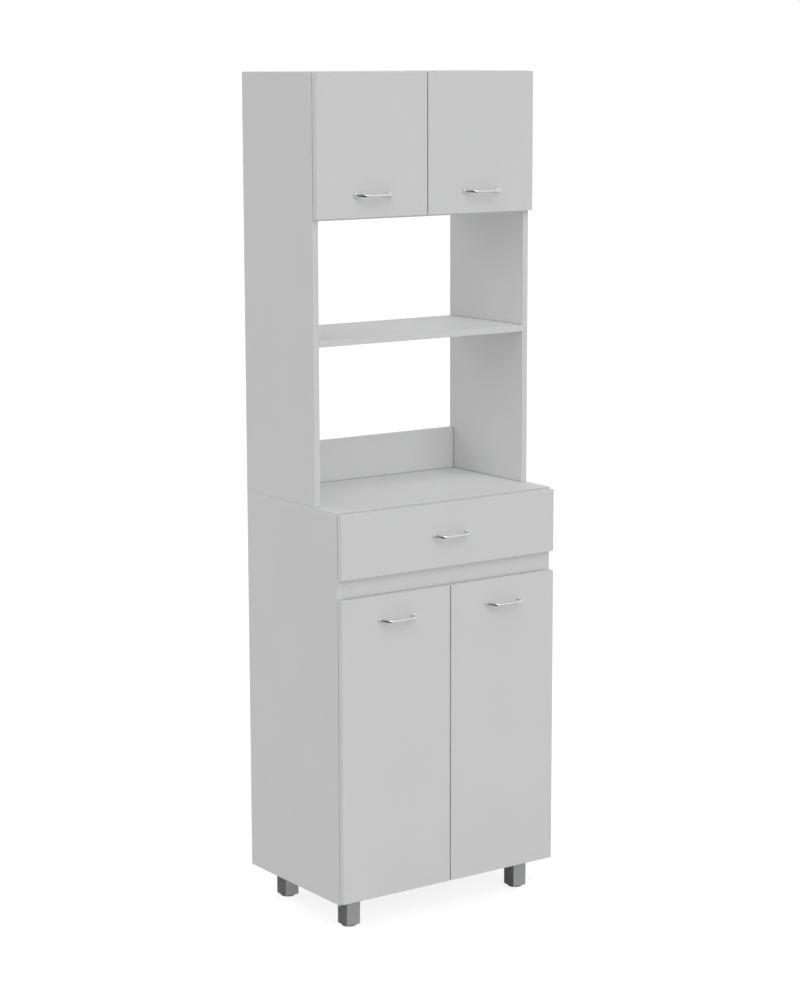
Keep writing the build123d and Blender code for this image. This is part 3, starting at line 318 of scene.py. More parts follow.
    def _core(self) -> bpy.types.NodeTree:
        """Build the flecks of a sawn particle-board edge and a mask for the edges that face back.

        Returns:
            The finished group.
        """
        graph, given = self._open(Effect.CORE, ("Fleck scale",), ("Flecks", "Back"))
        coordinates = graph.add("ShaderNodeTexCoord")
        inputs = {"Scale": given.outputs["Fleck scale"], "Vector": coordinates.outputs["Object"]}
        cells = graph.add("ShaderNodeTexVoronoi", None, inputs)
        chips = graph.add("ShaderNodeSeparateColor", None, {0: cells.outputs["Color"]})
        normal = graph.add("ShaderNodeSeparateXYZ", None, {0: coordinates.outputs["Normal"]})
        back = graph.math("GREATER_THAN", normal.outputs["Y"], self.back_normal_y)
        graph.add("NodeGroupOutput", None, {"Flecks": chips.outputs[0], "Back": back})
        return graph.tree

    def _streaks(self) -> bpy.types.NodeTree:
        """Build long fine streaks, as on drawn metal or along wood.

        Returns:
            The finished group.
        """
        graph, given = self._open(Effect.STREAKS, ("Streak scale",), ("Streak",))
        place = graph.add("ShaderNodeTexCoord").outputs["Object"]
        inputs = {0: place, 1: self.streak_stretch}
        stretched = graph.add("ShaderNodeVectorMath", {"operation": "MULTIPLY"}, inputs)
        streak = graph.noise(given.outputs["Streak scale"], detail=3.0, vector=stretched.outputs[0])
        graph.add("NodeGroupOutput", None, {"Streak": graph.spread(streak, 0.0, 1.0)})
        return graph.tree


EFFECTS = EffectLibrary()


def fresh_graph(owner: bpy.types.Material | bpy.types.World) -> Graph:
    """Give a material or world an empty node tree and return its graph."""
    owner.use_nodes = True
    owner.node_tree.nodes.clear()
    return Graph(owner.node_tree)


def new_material(name: str) -> tuple[bpy.types.Material, Graph, bpy.types.Node]:
    """Make a material that holds one principled shader.

    Args:
        name: The material's name.

    Returns:
        The material, its graph and its shader node.
    """
    material = bpy.data.materials.new(name)
    graph = fresh_graph(material)
    shader = graph.add("ShaderNodeBsdfPrincipled")
    graph.add("ShaderNodeOutputMaterial", None, {"Surface": shader.outputs[0]})
    return material, graph, shader


@dataclass
class Skin:
    """What a finish ends in: a colour, a roughness and a height with the bump's depth in metres."""

    colour: bpy.types.NodeSocket
    rough: bpy.types.NodeSocket
    height: bpy.types.NodeSocket
    depth: float

    def join(self, graph: Graph, shader: bpy.types.Node) -> None:
        """Join the skin to a shader.

        Args:
            graph: The material's graph.
            shader: The principled shader.
        """
        graph.tree.links.new(self.colour, shader.inputs["Base Color"])
        graph.tree.links.new(self.rough, shader.inputs["Roughness"])
        inputs = {"Strength": 1.0, "Distance": self.depth, "Height": self.height}
        bump = graph.add("ShaderNodeBump", None, inputs)
        graph.tree.links.new(bump.outputs["Normal"], shader.inputs["Normal"])


@dataclass(frozen=True)
class ClothedFinish:
    """What boards, plastics and metals share: a clouded face with worn edges."""

    name: str
    slot: str
    face: Colour
    cloud: Colour
    edge: Colour
    roughness: float = 0.5
    roughness_spread: float = 0.05
    dimple_scale: float = 1000.0
    cloud_scale: float = 10.0
    wear: float = 0.3
    wear_width: float = 0.8 * MM
    wear_break_up: float = 100.0

    def clothe(self, graph: Graph) -> tuple[bpy.types.NodeSocket, bpy.types.Node]:
        """Build the face and its worn edges.

        Args:
            graph: The material's graph.

        Returns:
            The colour, and the node with the face's height.
        """
        scales = {"Dimple scale": self.dimple_scale, "Cloud scale": self.cloud_scale}
        face = EFFECTS.place(graph, Effect.FACE, scales)
        worn = EFFECTS.place(graph, Effect.WEAR, {"Width": self.wear_width, "Break up": self.wear_break_up})
        colour = graph.mix(face.outputs["Tone"], self.face, self.cloud)
        colour = graph.mix(graph.math("MULTIPLY", worn.outputs["Mask"], self.wear), colour, self.edge)
        return colour, face

    def rough_range(self) -> tuple[float, float]:
        """Return the lowest and highest roughness."""
        return self.roughness - self.roughness_spread, self.roughness + self.roughness_spread


@dataclass(frozen=True)
class BoardFinish(ClothedFinish):
    """White melamine on particle board, with a soft edge band, perhaps a raw edge at the back, and painted
    shade where boards meet.
    """

    dimple_scale: float = 850.0
    cloud_scale: float = 5.0
    wear: float = 0.2
    wear_break_up: float = 45.0
    dimples: float = 0.000012
    gloss: float = 0.2
    # Painted shade: the dark colour mixed in along joints and corners, standing in for shade
    shade: Colour = (0.3, 0.3, 0.31)
    shade_reach: float = 4.0 * MM
    painted_shade_strength: float = 0.45
    raw_back: bool = False
    core_light: Colour = (0.55, 0.41, 0.26)
    core_dark: Colour = (0.27, 0.17, 0.09)
    core_roughness: float = 0.9
    fleck_scale: float = 380.0

    def build(self) -> bpy.types.Material:
        """Build the material."""
        material, graph, shader = new_material(self.name)
        shader.inputs["Specular IOR Level"].default_value = self.gloss
        colour, pressed = self.clothe(graph)
        shaded_front = 0.0 if self.raw_back else 1.0
        joint = EFFECTS.place(graph, Effect.SHADE, {"Reach": self.shade_reach, "Front edges": shaded_front})
        rough = graph.spread(pressed.outputs["Height"], *self.rough_range())
        if self.raw_back:
            core = EFFECTS.place(graph, Effect.CORE, {"Fleck scale": self.fleck_scale})
            chips = graph.mix(core.outputs["Flecks"], self.core_light, self.core_dark)
            colour = graph.mix(core.outputs["Back"], colour, chips)
            sawn = graph.math("MULTIPLY", core.outputs["Back"], self.core_roughness)
            rough = graph.math("MAXIMUM", rough, sawn)
        # Painted shade: darken the colour where the occlusion mask finds a joint
        painted_shade_amount = graph.math("MULTIPLY", joint.outputs["Mask"], self.painted_shade_strength)
        colour = graph.mix(painted_shade_amount, colour, self.shade)
        Skin(colour, rough, pressed.outputs["Height"], self.dimples).join(graph, shader)
        return material


@dataclass(frozen=True)
class MouldedFinish(ClothedFinish):
    """Moulded plastic, or a coat on sheet metal, with dimples and slightly paler edges."""

    roughness_spread: float = 0.08
    dimple_scale: float = 1400.0
    cloud_scale: float = 30.0
    wear: float = 0.5
    wear_break_up: float = 120.0
    dimples: float = 0.00003

    def build(self) -> bpy.types.Material:
        """Build the material."""
        material, graph, shader = new_material(self.name)
        colour, face = self.clothe(graph)
        rough = graph.spread(face.outputs["Height"], *self.rough_range())
        Skin(colour, rough, face.outputs["Height"], self.dimples).join(graph, shader)
        return material


@dataclass(frozen=True)
class MetalFinish(ClothedFinish):
    """Plated or cast metal, or a coat that looks like it, with streaks in its gloss and brighter edges."""

    roughness: float = 0.2
    roughness_spread: float = 0.06
    dimple_scale: float = 1500.0
    cloud_scale: float = 60.0
    wear: float = 0.4
    wear_width: float = 0.4 * MM
    wear_break_up: float = 200.0
    grain_depth: float = 0.000002
    streak_scale: float = 900.0
    metallic: float = 1.0

    def build(self) -> bpy.types.Material:
        """Build the material."""
        material, graph, shader = new_material(self.name)
        shader.inputs["Metallic"].default_value = self.metallic
        drawn = EFFECTS.place(graph, Effect.STREAKS, {"Streak scale": self.streak_scale})
        colour, _ = self.clothe(graph)
        low, high = self.rough_range()
        inputs = {"Value": drawn.outputs["Streak"], "To Min": low, "To Max": high}
        rough = graph.add("ShaderNodeMapRange", None, inputs).outputs["Result"]
        Skin(colour, rough, drawn.outputs["Streak"], self.grain_depth).join(graph, shader)
        return material


@dataclass(frozen=True)
class BeechFinish:
    """Bare turned beech, with its grain along X and short darker flecks."""

    name: str
    slot: str
    light: Colour
    dark: Colour
    roughness: float = 0.7
    roughness_spread: float = 0.1
    streak_scale: float = 500.0
    grain_depth: float = 0.00004

    def build(self) -> bpy.types.Material:
        """Build the material."""
        material, graph, shader = new_material(self.name)
        grain = EFFECTS.place(graph, Effect.STREAKS, {"Streak scale": self.streak_scale})
        colour = graph.mix(grain.outputs["Streak"], self.light, self.dark)
        low, high = self.roughness - self.roughness_spread, self.roughness + self.roughness_spread
        inputs = {"Value": grain.outputs["Streak"], "To Min": low, "To Max": high}
        rough = graph.add("ShaderNodeMapRange", None, inputs).outputs["Result"]
        Skin(colour, rough, grain.outputs["Streak"], self.grain_depth).join(graph, shader)
        return material


Finish = BoardFinish | MouldedFinish | MetalFinish | BeechFinish

WHITE: Colour = (0.842, 0.844, 0.848)
WHITE_CLOUD: Colour = (0.825, 0.827, 0.832)
WHITE_EDGE: Colour = (0.9, 0.9, 0.9)

CARCASS = BoardFinish("carcass melamine", "carcass_board", WHITE, WHITE_CLOUD, WHITE_EDGE, raw_back=True)
RAIL = BoardFinish("rail melamine", "carcass_board", WHITE, WHITE_CLOUD, WHITE_EDGE)
COUNTER = BoardFinish(
    "counter melamine",
    "counter_board",
    face=(0.853, 0.855, 0.859),
    cloud=(0.837, 0.839, 0.844),
    edge=(0.91, 0.91, 0.91),
    roughness=0.46,
    raw_back=True,
)
FRONT = BoardFinish(
    "front melamine", "front_board", WHITE, WHITE_CLOUD, WHITE_EDGE, roughness=0.48, painted_shade_strength=0.1
)
DRAWER = BoardFinish(
    "drawer melamine",
    "drawer_board",
    face=(0.8, 0.802, 0.806),
    cloud=(0.78, 0.782, 0.787),
    edge=WHITE_EDGE,
    roughness=0.54,
)
HARDBOARD = BoardFinish(
    "lacquered hardboard",
    "back_board",
    face=(0.77, 0.772, 0.77),
    cloud=(0.735, 0.737, 0.735),
    edge=(0.79, 0.79, 0.78),
    roughness=0.6,
    dimples=0.00003,
)
CHROME = MetalFinish(
    "bright chrome",
    "handle_chrome",
    face=(0.67, 0.675, 0.685),
    cloud=(0.63, 0.635, 0.645),
    edge=(0.75, 0.75, 0.76),
    roughness=0.09,
    roughness_spread=0.04,
)
NICKEL = MetalFinish(
    "nickel on pressed steel",
    "hinge_steel",
    face=(0.62, 0.61, 0.59),
    cloud=(0.56, 0.55, 0.53),
    edge=(0.75, 0.74, 0.72),
    roughness=0.26,
)
ZINC = MetalFinish(
    "bright zinc",
    "fitting_steel",
    face=(0.58, 0.59, 0.6),
    cloud=(0.5, 0.51, 0.53),
    edge=(0.72, 0.72, 0.73),
    roughness=0.32,
    roughness_spread=0.1,
)
CAST_ZINC = MetalFinish(
    "cast zinc",
    "cam_zinc",
    face=(0.45, 0.45, 0.46),
    cloud=(0.38, 0.38, 0.39),
    edge=(0.6, 0.6, 0.61),
    roughness=0.42,
    roughness_spread=0.1,
    grain_depth=0.00002,
)
FOOT = MetalFinish(
    "satin grey foot",
    "foot_plastic",
    face=(0.38, 0.383, 0.39),
    cloud=(0.356, 0.359, 0.366),
    edge=(0.475, 0.475, 0.485),
    roughness=0.36,
    roughness_spread=0.05,
    grain_depth=0.000004,
    metallic=0.4,
)
GLIDE = MouldedFinish(
    "dark glide",
    "glide_plastic",
    face=(0.16, 0.16, 0.165),
    cloud=(0.14, 0.14, 0.145),
    edge=(0.24, 0.24, 0.24),
    roughness=0.55,
)
COAT = MouldedFinish(
    "white coat",
    "runner_coating",
    face=(0.79, 0.79, 0.784),
    cloud=(0.755, 0.755, 0.749),
    edge=(0.84, 0.84, 0.84),
    roughness=0.38,
    dimples=0.00001,
)
NYLON = MouldedFinish(
    "nylon",
    "roller_plastic",
    face=(0.8, 0.8, 0.776),
    cloud=(0.76, 0.76, 0.736),
    edge=(0.84, 0.84, 0.82),
    roughness=0.5,
)
BEECH = BeechFinish("bare beech", "dowel_wood", (0.58, 0.4, 0.24), (0.42, 0.27, 0.15))

NODE_FINISHES: dict[Finish, Sequence[str]] = {
    CARCASS: (
        "base_left_side",
        "base_right_side",
        "base_bottom",
        "base_shelf",
        "hutch_left_side",
        "hutch_right_side",
        "hutch_top",
        "upper_cabinet_bottom",
        "open_shelf",
    ),
    RAIL: ("front_rail", "backsplash_rail"),
    COUNTER: ("counter_top",),
    FRONT: ("upper_left_door", "upper_right_door", "base_left_door", "base_right_door", "drawer_front"),
    DRAWER: ("drawer_left_side", "drawer_right_side", "drawer_back"),
    HARDBOARD: ("base_back_panel", "upper_back_panel", "drawer_bottom"),
    NICKEL: (
        "hinge_arms",
        "hinge_plates",
        "upper_left_hinge_cups",
        "upper_right_hinge_cups",
        "base_left_hinge_cups",
        "base_right_hinge_cups",
    ),
    ZINC: ("cam_bolts", "foot_bolts", "shelf_pins"),
    CAST_ZINC: ("cam_locks", "drawer_cam_fittings"),
    BEECH: ("hutch_dowels",),
    COAT: ("cabinet_left_runner", "cabinet_right_runner", "drawer_left_runner", "drawer_right_runner"),
    NYLON: ("cabinet_rollers", "drawer_rollers"),
    GLIDE: ("foot_glides",),
}


class Palette:
    """Builds each finish's material once."""

    def __init__(self) -> None:
        """Start with no materials made."""
        self.made: dict[Finish, bpy.types.Material] = {}

    def get(self, finish: Finish) -> bpy.types.Material:
        """Return the material of a finish.

        Args:
            finish: The wanted finish.

        Returns:
            Its material.
        """
        if finish not in self.made:
            self.made[finish] = finish.build()
        return self.made[finish]

    def dress_nodes(self) -> int:
        """Put the finishes on the carried-over CAD nodes and return how many were dressed."""
        count = 0
        for finish, names in NODE_FINISHES.items():
            for name in names:
                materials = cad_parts[name].data.materials
                for index in range(max(len(materials), 1)):
                    if index < len(materials):
                        materials[index] = self.get(finish)
                    else:
                        materials.append(self.get(finish))
                count += 1
        return count


PALETTE = Palette()


def circle_angles(count: int) -> list[float]:
    """Return evenly spaced angles round a circle."""
    return [2 * math.pi * step / count for step in range(count)]


class MeshDraft:
    """Collects vertices and faces for one mesh."""

    def __init__(self) -> None:
        """Start with an empty mesh."""
        self.mesh = bmesh.new()

    def ring(self, points: Iterable[Vector]) -> list[bmesh.types.BMVert]:
        """Add the vertices of one closed ring."""
        return [self.mesh.verts.new(point) for point in points]

    def band(self, first: Sequence[bmesh.types.BMVert], second: Sequence[bmesh.types.BMVert]) -> None:
        """Join two rings of the same count with a band of quads.

        Args:
            first: The first ring.
            second: The second ring.
        """
        count = len(first)
        for index in range(count):
            following = (index + 1) % count
            self.mesh.faces.new((first[index], first[following], second[following], second[index]))

    def cap(self, ring: Sequence[bmesh.types.BMVert], flip: bool = False) -> None:
        """Close a ring with one face.

        Args:
            ring: The ring's vertices.
            flip: Whether the face looks the other way.
        """
        self.mesh.faces.new(tuple(reversed(ring)) if flip else tuple(ring))

    def loft(self, rings: Sequence[Sequence[Vector]]) -> None:
        """Skin a row of rings and close both ends.

        Args:
            rings: The rings in order, each with the same count of points.
        """
        made = [self.ring(points) for points in rings]
        for first, second in zip(made, made[1:]):
            self.band(first, second)
        self.cap(made[0], flip=True)
        self.cap(made[-1])

    def finish(self, name: str, material: bpy.types.Material, smooth_angle: float = 35.0) -> bpy.types.Object:
        """Turn the draft into an object.

        Args:
            name: The object's name.
            material: The material on all its faces.
            smooth_angle: Edges sharper than this many degrees stay sharp.

        Returns:
            The new object.
        """
        bmesh.ops.remove_doubles(self.mesh, verts=self.mesh.verts, dist=MERGE_DISTANCE)
        bmesh.ops.recalc_face_normals(self.mesh, faces=self.mesh.faces)
        for edge in self.mesh.edges:
            edge.smooth = edge.calc_face_angle(0.0) < math.radians(smooth_angle)
        for face in self.mesh.faces:
            face.smooth = True
        data = bpy.data.meshes.new(name)
        self.mesh.to_mesh(data)
        self.mesh.free()
        data.materials.append(material)
        piece = bpy.data.objects.new(name, data)
        bpy.context.scene.collection.objects.link(piece)
        return piece


def install(piece: bpy.types.Object, body: str, finish: Finish, replaced: Sequence[str] = ()) -> None:
    """Hang a new piece on its body and hide the CAD nodes that it stands for.

    Args:
        piece: The new piece.
        body: The CAD body that it moves with.
        finish: The finish; not used.
        replaced: CAD nodes that it stands for.
    """
    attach(piece, body)
    if replaced:
        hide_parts(*replaced)


@dataclass
class BarHandle:
    """A bright rod bent out from a front board, with a round rosette at each foot."""

    node: str
    body: str
    finish: MetalFinish = CHROME
    spacing: float = HANDLE_SPACING
    bar_length: float = 69 * MM
    rod_radius: float = 3.75 * MM
    bend_radius: float = 9 * MM
    rosette_radius: float = 6.25 * MM
    rosette_height: float = 3 * MM
    rosette_round: float = 0.9 * MM
    rosette_step: float = 0.35 * MM
    rosette_rim: float = 0.5 * MM
    rosette_steps: int = 5
    foot_lift: float = 0.2 * MM
    around: int = 28
    bend_steps: int = 9

    def __post_init__(self) -> None:
        """Take the handle's place from its CAD node."""
        low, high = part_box(self.node)
        self.centre = Vector(((low.x + high.x) / 2, high.y, (low.z + high.z) / 2))
        self.reach = high.y - low.y - self.rod_radius

    def _path(self) -> list[Vector]:
        """Return the rod's middle line, in the plane of the handle."""
        foot, corner = Vector((-self.spacing / 2, 0.0)), Vector((-self.bar_length / 2, -self.reach))
        into, along = (corner - foot).normalized(), Vector((1.0, 0.0))
        turn = into.angle(along)
        cut = self.bend_radius * math.tan(turn / 2)
        start = corner - into * cut
        centre = corner + along * cut + Vector((0.0, self.bend_radius))
        lift = self.rod_radius * abs(into.x) + self.foot_lift
        half = [foot + into * (lift / abs(into.y)), start]
        for step in range(1, self.bend_steps + 1):
            angle = turn * step / self.bend_steps
            spoke = start - centre
            half.append(centre + Matrix.Rotation(angle, 2) @ spoke)
        middle = [Vector((0.0, -self.reach))]
        mirrored = [Vector((-point.x, point.y)) for point in reversed(half)]
        return half + middle + mirrored

    def _tube(self, draft: MeshDraft) -> None:
        """Skin the bent rod.

        Args:
            draft: The mesh that it goes into.
        """
        path = self._path()
        up = Vector((0.0, 0.0, 1.0))
        rings = []
        for index, point in enumerate(path):
            before, after = path[max(index - 1, 0)], path[min(index + 1, len(path) - 1)]
            forward = (after - before).normalized()
            across = Vector((-forward.y, forward.x, 0.0))
            middle = self.centre + Vector((point.x, point.y, 0.0))
            spokes = [across * math.cos(a) + up * math.sin(a) for a in circle_angles(self.around)]
            rings.append([middle + spoke * self.rod_radius for spoke in spokes])
        draft.loft(rings)

    def _rosette(self, draft: MeshDraft, way: int) -> None:
        """Turn one rosette.

        Args:
            draft: The mesh that it goes into.
            way: -1 for the left foot and 1 for the right.
        """
        middle = self.centre + Vector((way * self.spacing / 2, 0.0, 0.0))
        top_radius = self.rosette_radius - self.rosette_step
        profile = [(self.rosette_radius, 0.0), (self.rosette_radius, self.rosette_rim)]
        for step in range(self.rosette_steps + 1):
            angle = math.pi / 2 * step / self.rosette_steps
            radius = top_radius - self.rosette_round * (1 - math.cos(angle))
            profile.append((radius, self.rosette_height - self.rosette_round * (1 - math.sin(angle))))
        rings = []
        for radius, height in profile:
            angles = circle_angles(self.around)
            spokes = [Vector((radius * math.cos(a), -height, radius * math.sin(a))) for a in angles]
            rings.append([middle + spoke for spoke in spokes])
        draft.loft(rings)

    def build(self) -> bpy.types.Object:
        """Build the handle and let it stand for its CAD node."""
        draft = MeshDraft()
        self._tube(draft)
        for way in (-1, 1):
            self._rosette(draft, way)
        piece = draft.finish(self.node + ".bright", PALETTE.get(self.finish))
        install(piece, self.body, self.finish, (self.node,))
        return piece


@dataclass
class SquareFoot:
    """A square leg with a satin coat and soft edges, standing on its round glide."""

    node: str
    finish: MetalFinish = FOOT
    edge_radius: float = 1.6 * MM
    draft: float = 0.25 * MM
    bottom_round: float = 1.6 * MM
    bottom_steps: int = 4
    top_bevel_height: float = 0.6 * MM
    top_bevel_width: float = 0.4 * MM
    corner_steps: int = 5

    def __post_init__(self) -> None:
        """Take the foot's place from its CAD node."""
        self.low, self.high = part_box(self.node)

    def _ring(self, shrink: float, height: float) -> list[Vector]:
        """Return a rounded square.

        Args:
            shrink: How far it lies inside the CAD outline.
            height: Its height above the floor.

        Returns:
            The ring's points.
        """
        middle = (self.low + self.high) / 2
        half = (self.high.x - self.low.x) / 2 - shrink
        points = []
        for corner in range(4):
            turn = math.pi / 2 * corner
            hub = Matrix.Rotation(turn, 2) @ Vector((half - self.edge_radius, half - self.edge_radius))
            for step in range(self.corner_steps + 1):
                angle = turn + math.pi / 2 * step / self.corner_steps
                arm = Vector((math.cos(angle), math.sin(angle))) * self.edge_radius
                points.append(Vector((middle.x + hub.x + arm.x, middle.y + hub.y + arm.y, height)))
        return points

    def build(self) -> bpy.types.Object:
        """Build the foot and let it stand for its CAD node."""
        rings = []
        for step in range(self.bottom_steps + 1):
            angle = math.pi / 2 * step / self.bottom_steps
            shrink = self.draft + self.bottom_round * (1 - math.sin(angle))
            rings.append(self._ring(shrink, self.low.z + self.bottom_round * (1 - math.cos(angle))))
        rings.append(self._ring(self.draft / 2, (self.low.z + self.high.z) / 2))
        rings.append(self._ring(0.0, self.high.z - self.top_bevel_height))
        rings.append(self._ring(self.top_bevel_width, self.high.z))
        draft = MeshDraft()
        draft.loft(rings)
        piece = draft.finish(self.node + ".moulded", PALETTE.get(self.finish))
        install(piece, "cabinet", self.finish, (self.node,))
        return piece


@dataclass(frozen=True)
class ScrewPlace:
    """Where a screw's head sits: the middle of the face under it, and the way that the head looks."""

    seat: Vector
    outward: Vector


# The profile of a pan head, as shares of its radius and of its height
HEAD_PROFILE = ((1.0, 0.0), (1.0, 0.35), (0.93, 0.7), (0.8, 0.92), (0.68, 1.0))


@dataclass
class ScrewSet:
    """Pan-head screws with a cross recess, all on one body."""

    name: str
    body: str
    places: list[ScrewPlace]
    finish: MetalFinish = ZINC
    radius: float = 3.4 * MM
    height: float = 1.5 * MM
    recess_reach: float = 1.9 * MM
    recess_half: float = 0.38 * MM
    recess_depth: float = 0.9 * MM
    recess_taper: float = 0.82
    first_turn: float = 11.0
    turn_step: float = 37.0
    smooth_angle: float = 40.0
    around: int = 24

    def _cross(self) -> list[Vector]:
        """Return the outline of the recess."""
        reach, half = self.recess_reach, self.recess_half
        quarter = [Vector((half, half, 0.0)), Vector((half, reach, 0.0)), Vector((-half, reach, 0.0))]
        points = []
        for turn in range(4):
            points += [Matrix.Rotation(math.pi / 2 * turn, 3, "Z") @ point for point in quarter]
        return points

    def _head(self, draft: MeshDraft, place: ScrewPlace, turn: float) -> None:
        """Build one head.

        Args:
            draft: The mesh that it goes into.
            place: Where the head sits.
            turn: The angle at which the screw stopped.
        """
        aim = Vector((0.0, 0.0, 1.0)).rotation_difference(place.outward).to_matrix().to_4x4()
        move = Matrix.Translation(place.seat) @ aim @ Matrix.Rotation(turn, 4, "Z")
        mesh = draft.mesh
        rings = []
        for share, level in HEAD_PROFILE:
            spokes = [Vector((math.cos(a), math.sin(a), 0.0)) for a in circle_angles(self.around)]
            points = [spoke * self.radius * share for spoke in spokes]
            rings.append(draft.ring([move @ (p + Vector((0.0, 0.0, self.height * level))) for p in points]))
        for first, second in zip(rings, rings[1:]):
            draft.band(first, second)
        draft.cap(rings[0], flip=True)
        upper = draft.ring([move @ (p + Vector((0.0, 0.0, self.height))) for p in self._cross()])
        sunk = Vector((0.0, 0.0, self.height - self.recess_depth))
        lower = draft.ring([move @ (p * self.recess_taper + sunk) for p in self._cross()])
        draft.band(upper, lower)
        draft.cap(lower)
        loops = [self._edges(mesh, rings[-1]), self._edges(mesh, upper)]
        bmesh.ops.triangle_fill(mesh, use_beauty=True, use_dissolve=False, edges=loops[0] + loops[1])

    @staticmethod
    def _edges(mesh: bmesh.types.BMesh, ring: Sequence[bmesh.types.BMVert]) -> list[bmesh.types.BMEdge]:
        """Return the edges of a ring."""
        pairs = zip(ring, list(ring[1:]) + [ring[0]])
        return [mesh.edges.get(pair) or mesh.edges.new(pair) for pair in pairs]

    def build(self) -> bpy.types.Object:
        """Build all the heads as one piece."""
        draft = MeshDraft()
        for index, place in enumerate(self.places):
            self._head(draft, place, math.radians(self.turn_step * index + self.first_turn))
        piece = draft.finish(self.name, PALETTE.get(self.finish), self.smooth_angle)
        install(piece, self.body, self.finish)
        return piece


@dataclass
class DoorHardware:
    """The screws of one door: two for each hinge cup and one behind each foot of the handle."""

    cabinet: str
    side: Side
    ear_offset: float = 5.5 * MM
    ear_spacing: float = 48 * MM
    flange_length: float = 60 * MM
    handle_head_radius: float = 3.8 * MM

    def __post_init__(self) -> None:
        """Take the places from the door's CAD nodes."""
        self.prefix = f"{self.cabinet}_{self.side.name.lower()}"
        self.body = self.prefix + "_door"
        self.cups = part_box(self.prefix + "_hinge_cups")
        self.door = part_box(self.body)
        self.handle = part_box(self.prefix + "_handle")

    def hinge_heights(self) -> tuple[float, float]:
        """Return the heights of the door's two hinges."""
        low, high = self.cups
        return low.z + self.flange_length / 2, high.z - self.flange_length / 2

    def _cup_places(self) -> list[ScrewPlace]:
        """Return the places of the cup screws."""
        low, high = self.cups
        x = (low.x + high.x) / 2 - self.side.value * self.ear_offset
        heights = [z + way * self.ear_spacing / 2 for z in self.hinge_heights() for way in (-1, 1)]
        return [ScrewPlace(Vector((x, high.y, z)), Vector((0.0, 1.0, 0.0))) for z in heights]

    def _handle_places(self) -> list[ScrewPlace]:
        """Return the places of the handle screws, on the door's back."""
        low, high = self.handle
        x, z = (low.x + high.x) / 2, (low.z + high.z) / 2
        feet = [x - HANDLE_SPACING / 2, x + HANDLE_SPACING / 2]
        return [ScrewPlace(Vector((foot, self.door[1].y, z)), Vector((0.0, 1.0, 0.0))) for foot in feet]

    def build(self) -> list[bpy.types.Object]:
        """Build the screws of the door."""
        cup_screws = ScrewSet(self.body + ".cup_screws", self.body, self._cup_places())
        handle_screws = ScrewSet(
            self.body + ".handle_screws", self.body, self._handle_places(), radius=self.handle_head_radius
        )
        return [cup_screws.build(), handle_screws.build()]


@dataclass
class CarcassHardware:
    """The screws on the fixed sides: plates, hinge arms and runners."""

    doors: list[DoorHardware]
    plate_setback: float = 37 * MM
    plate_thickness: float = 1.6 * MM
    plate_spacing: float = 32 * MM
    plate_head_height: float = 1.3 * MM
    arm_spacing: float = 15 * MM
    arm_head_radius: float = 3.6 * MM
    arm_head_height: float = 1.6 * MM
    runner_sheet: float = 1.2 * MM
    runner_first: float = 48 * MM
    runner_spacing: float = 128 * MM
    runner_middle: float = 12.25 * MM
    runner_count: int = 3
    runner_head_height: float = 1.2 * MM
    runner_recess_depth: float = 0.7 * MM

    def _front(self, door: DoorHardware) -> float:
        """Return where the carcass starts behind a door."""
        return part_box("base_left_side" if door.cabinet == "base" else "hutch_left_side")[0].y

    def _side_face(self, way: int) -> float:
        """Return the X of a side board's inner face."""
        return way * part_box("base_right_side")[0].x

    def _plates(self) -> list[ScrewPlace]:
        """Return the places of the plate screws."""
        places = []
        for door in self.doors:
            way = door.side.value
            x = self._side_face(way) - way * self.plate_thickness
            y = self._front(door) + self.plate_setback
            for z in door.hinge_heights():
                for end in (-1, 1):
                    seat = Vector((x, y, z + end * self.plate_spacing / 2))
                    places.append(ScrewPlace(seat, Vector((-way, 0.0, 0.0))))
        return places

    def _arms(self) -> list[ScrewPlace]:
        """Return the places of the screws that hold the arms to their plates."""
        across = [vertex.co.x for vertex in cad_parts["hinge_arms"].data.vertices]
        tops = {-1: max(x for x in across if x < 0), 1: min(x for x in across if x > 0)}
        places = []
        for door in self.doors:
            way = door.side.value
            y = self._front(door) + self.plate_setback
            for z in door.hinge_heights():
                for ahead in (0.0, self.arm_spacing):
                    seat = Vector((tops[way], y - ahead, z))
                    places.append(ScrewPlace(seat, Vector((-way, 0.0, 0.0))))
        return places

    def _runners(self) -> list[ScrewPlace]:
        """Return the places of the runner screws."""
        places = []
        for side in Side:
            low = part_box(f"cabinet_{side.name.lower()}_runner")[0]
            x = self._side_face(side.value) - side.value * self.runner_sheet
            for count in range(self.runner_count):
                y = low.y + self.runner_first + self.runner_spacing * count
                seat = Vector((x, y, low.z + self.runner_sheet + self.runner_middle))
                places.append(ScrewPlace(seat, Vector((-side.value, 0.0, 0.0))))
        return places

    def build(self) -> list[bpy.types.Object]:
        """Build the screws of the carcass."""
        plates = ScrewSet("hinge_plates.screws", "cabinet", self._plates(), height=self.plate_head_height)
        arms = ScrewSet(
            "hinge_arms.screws",
            "cabinet",
            self._arms(),
            NICKEL,
            radius=self.arm_head_radius,
            height=self.arm_head_height,
        )
        runners = ScrewSet(
            "cabinet_runners.screws",
            "cabinet",
            self._runners(),
            height=self.runner_head_height,
            recess_depth=self.runner_recess_depth,
        )
        return [plates.build(), arms.build(), runners.build()]


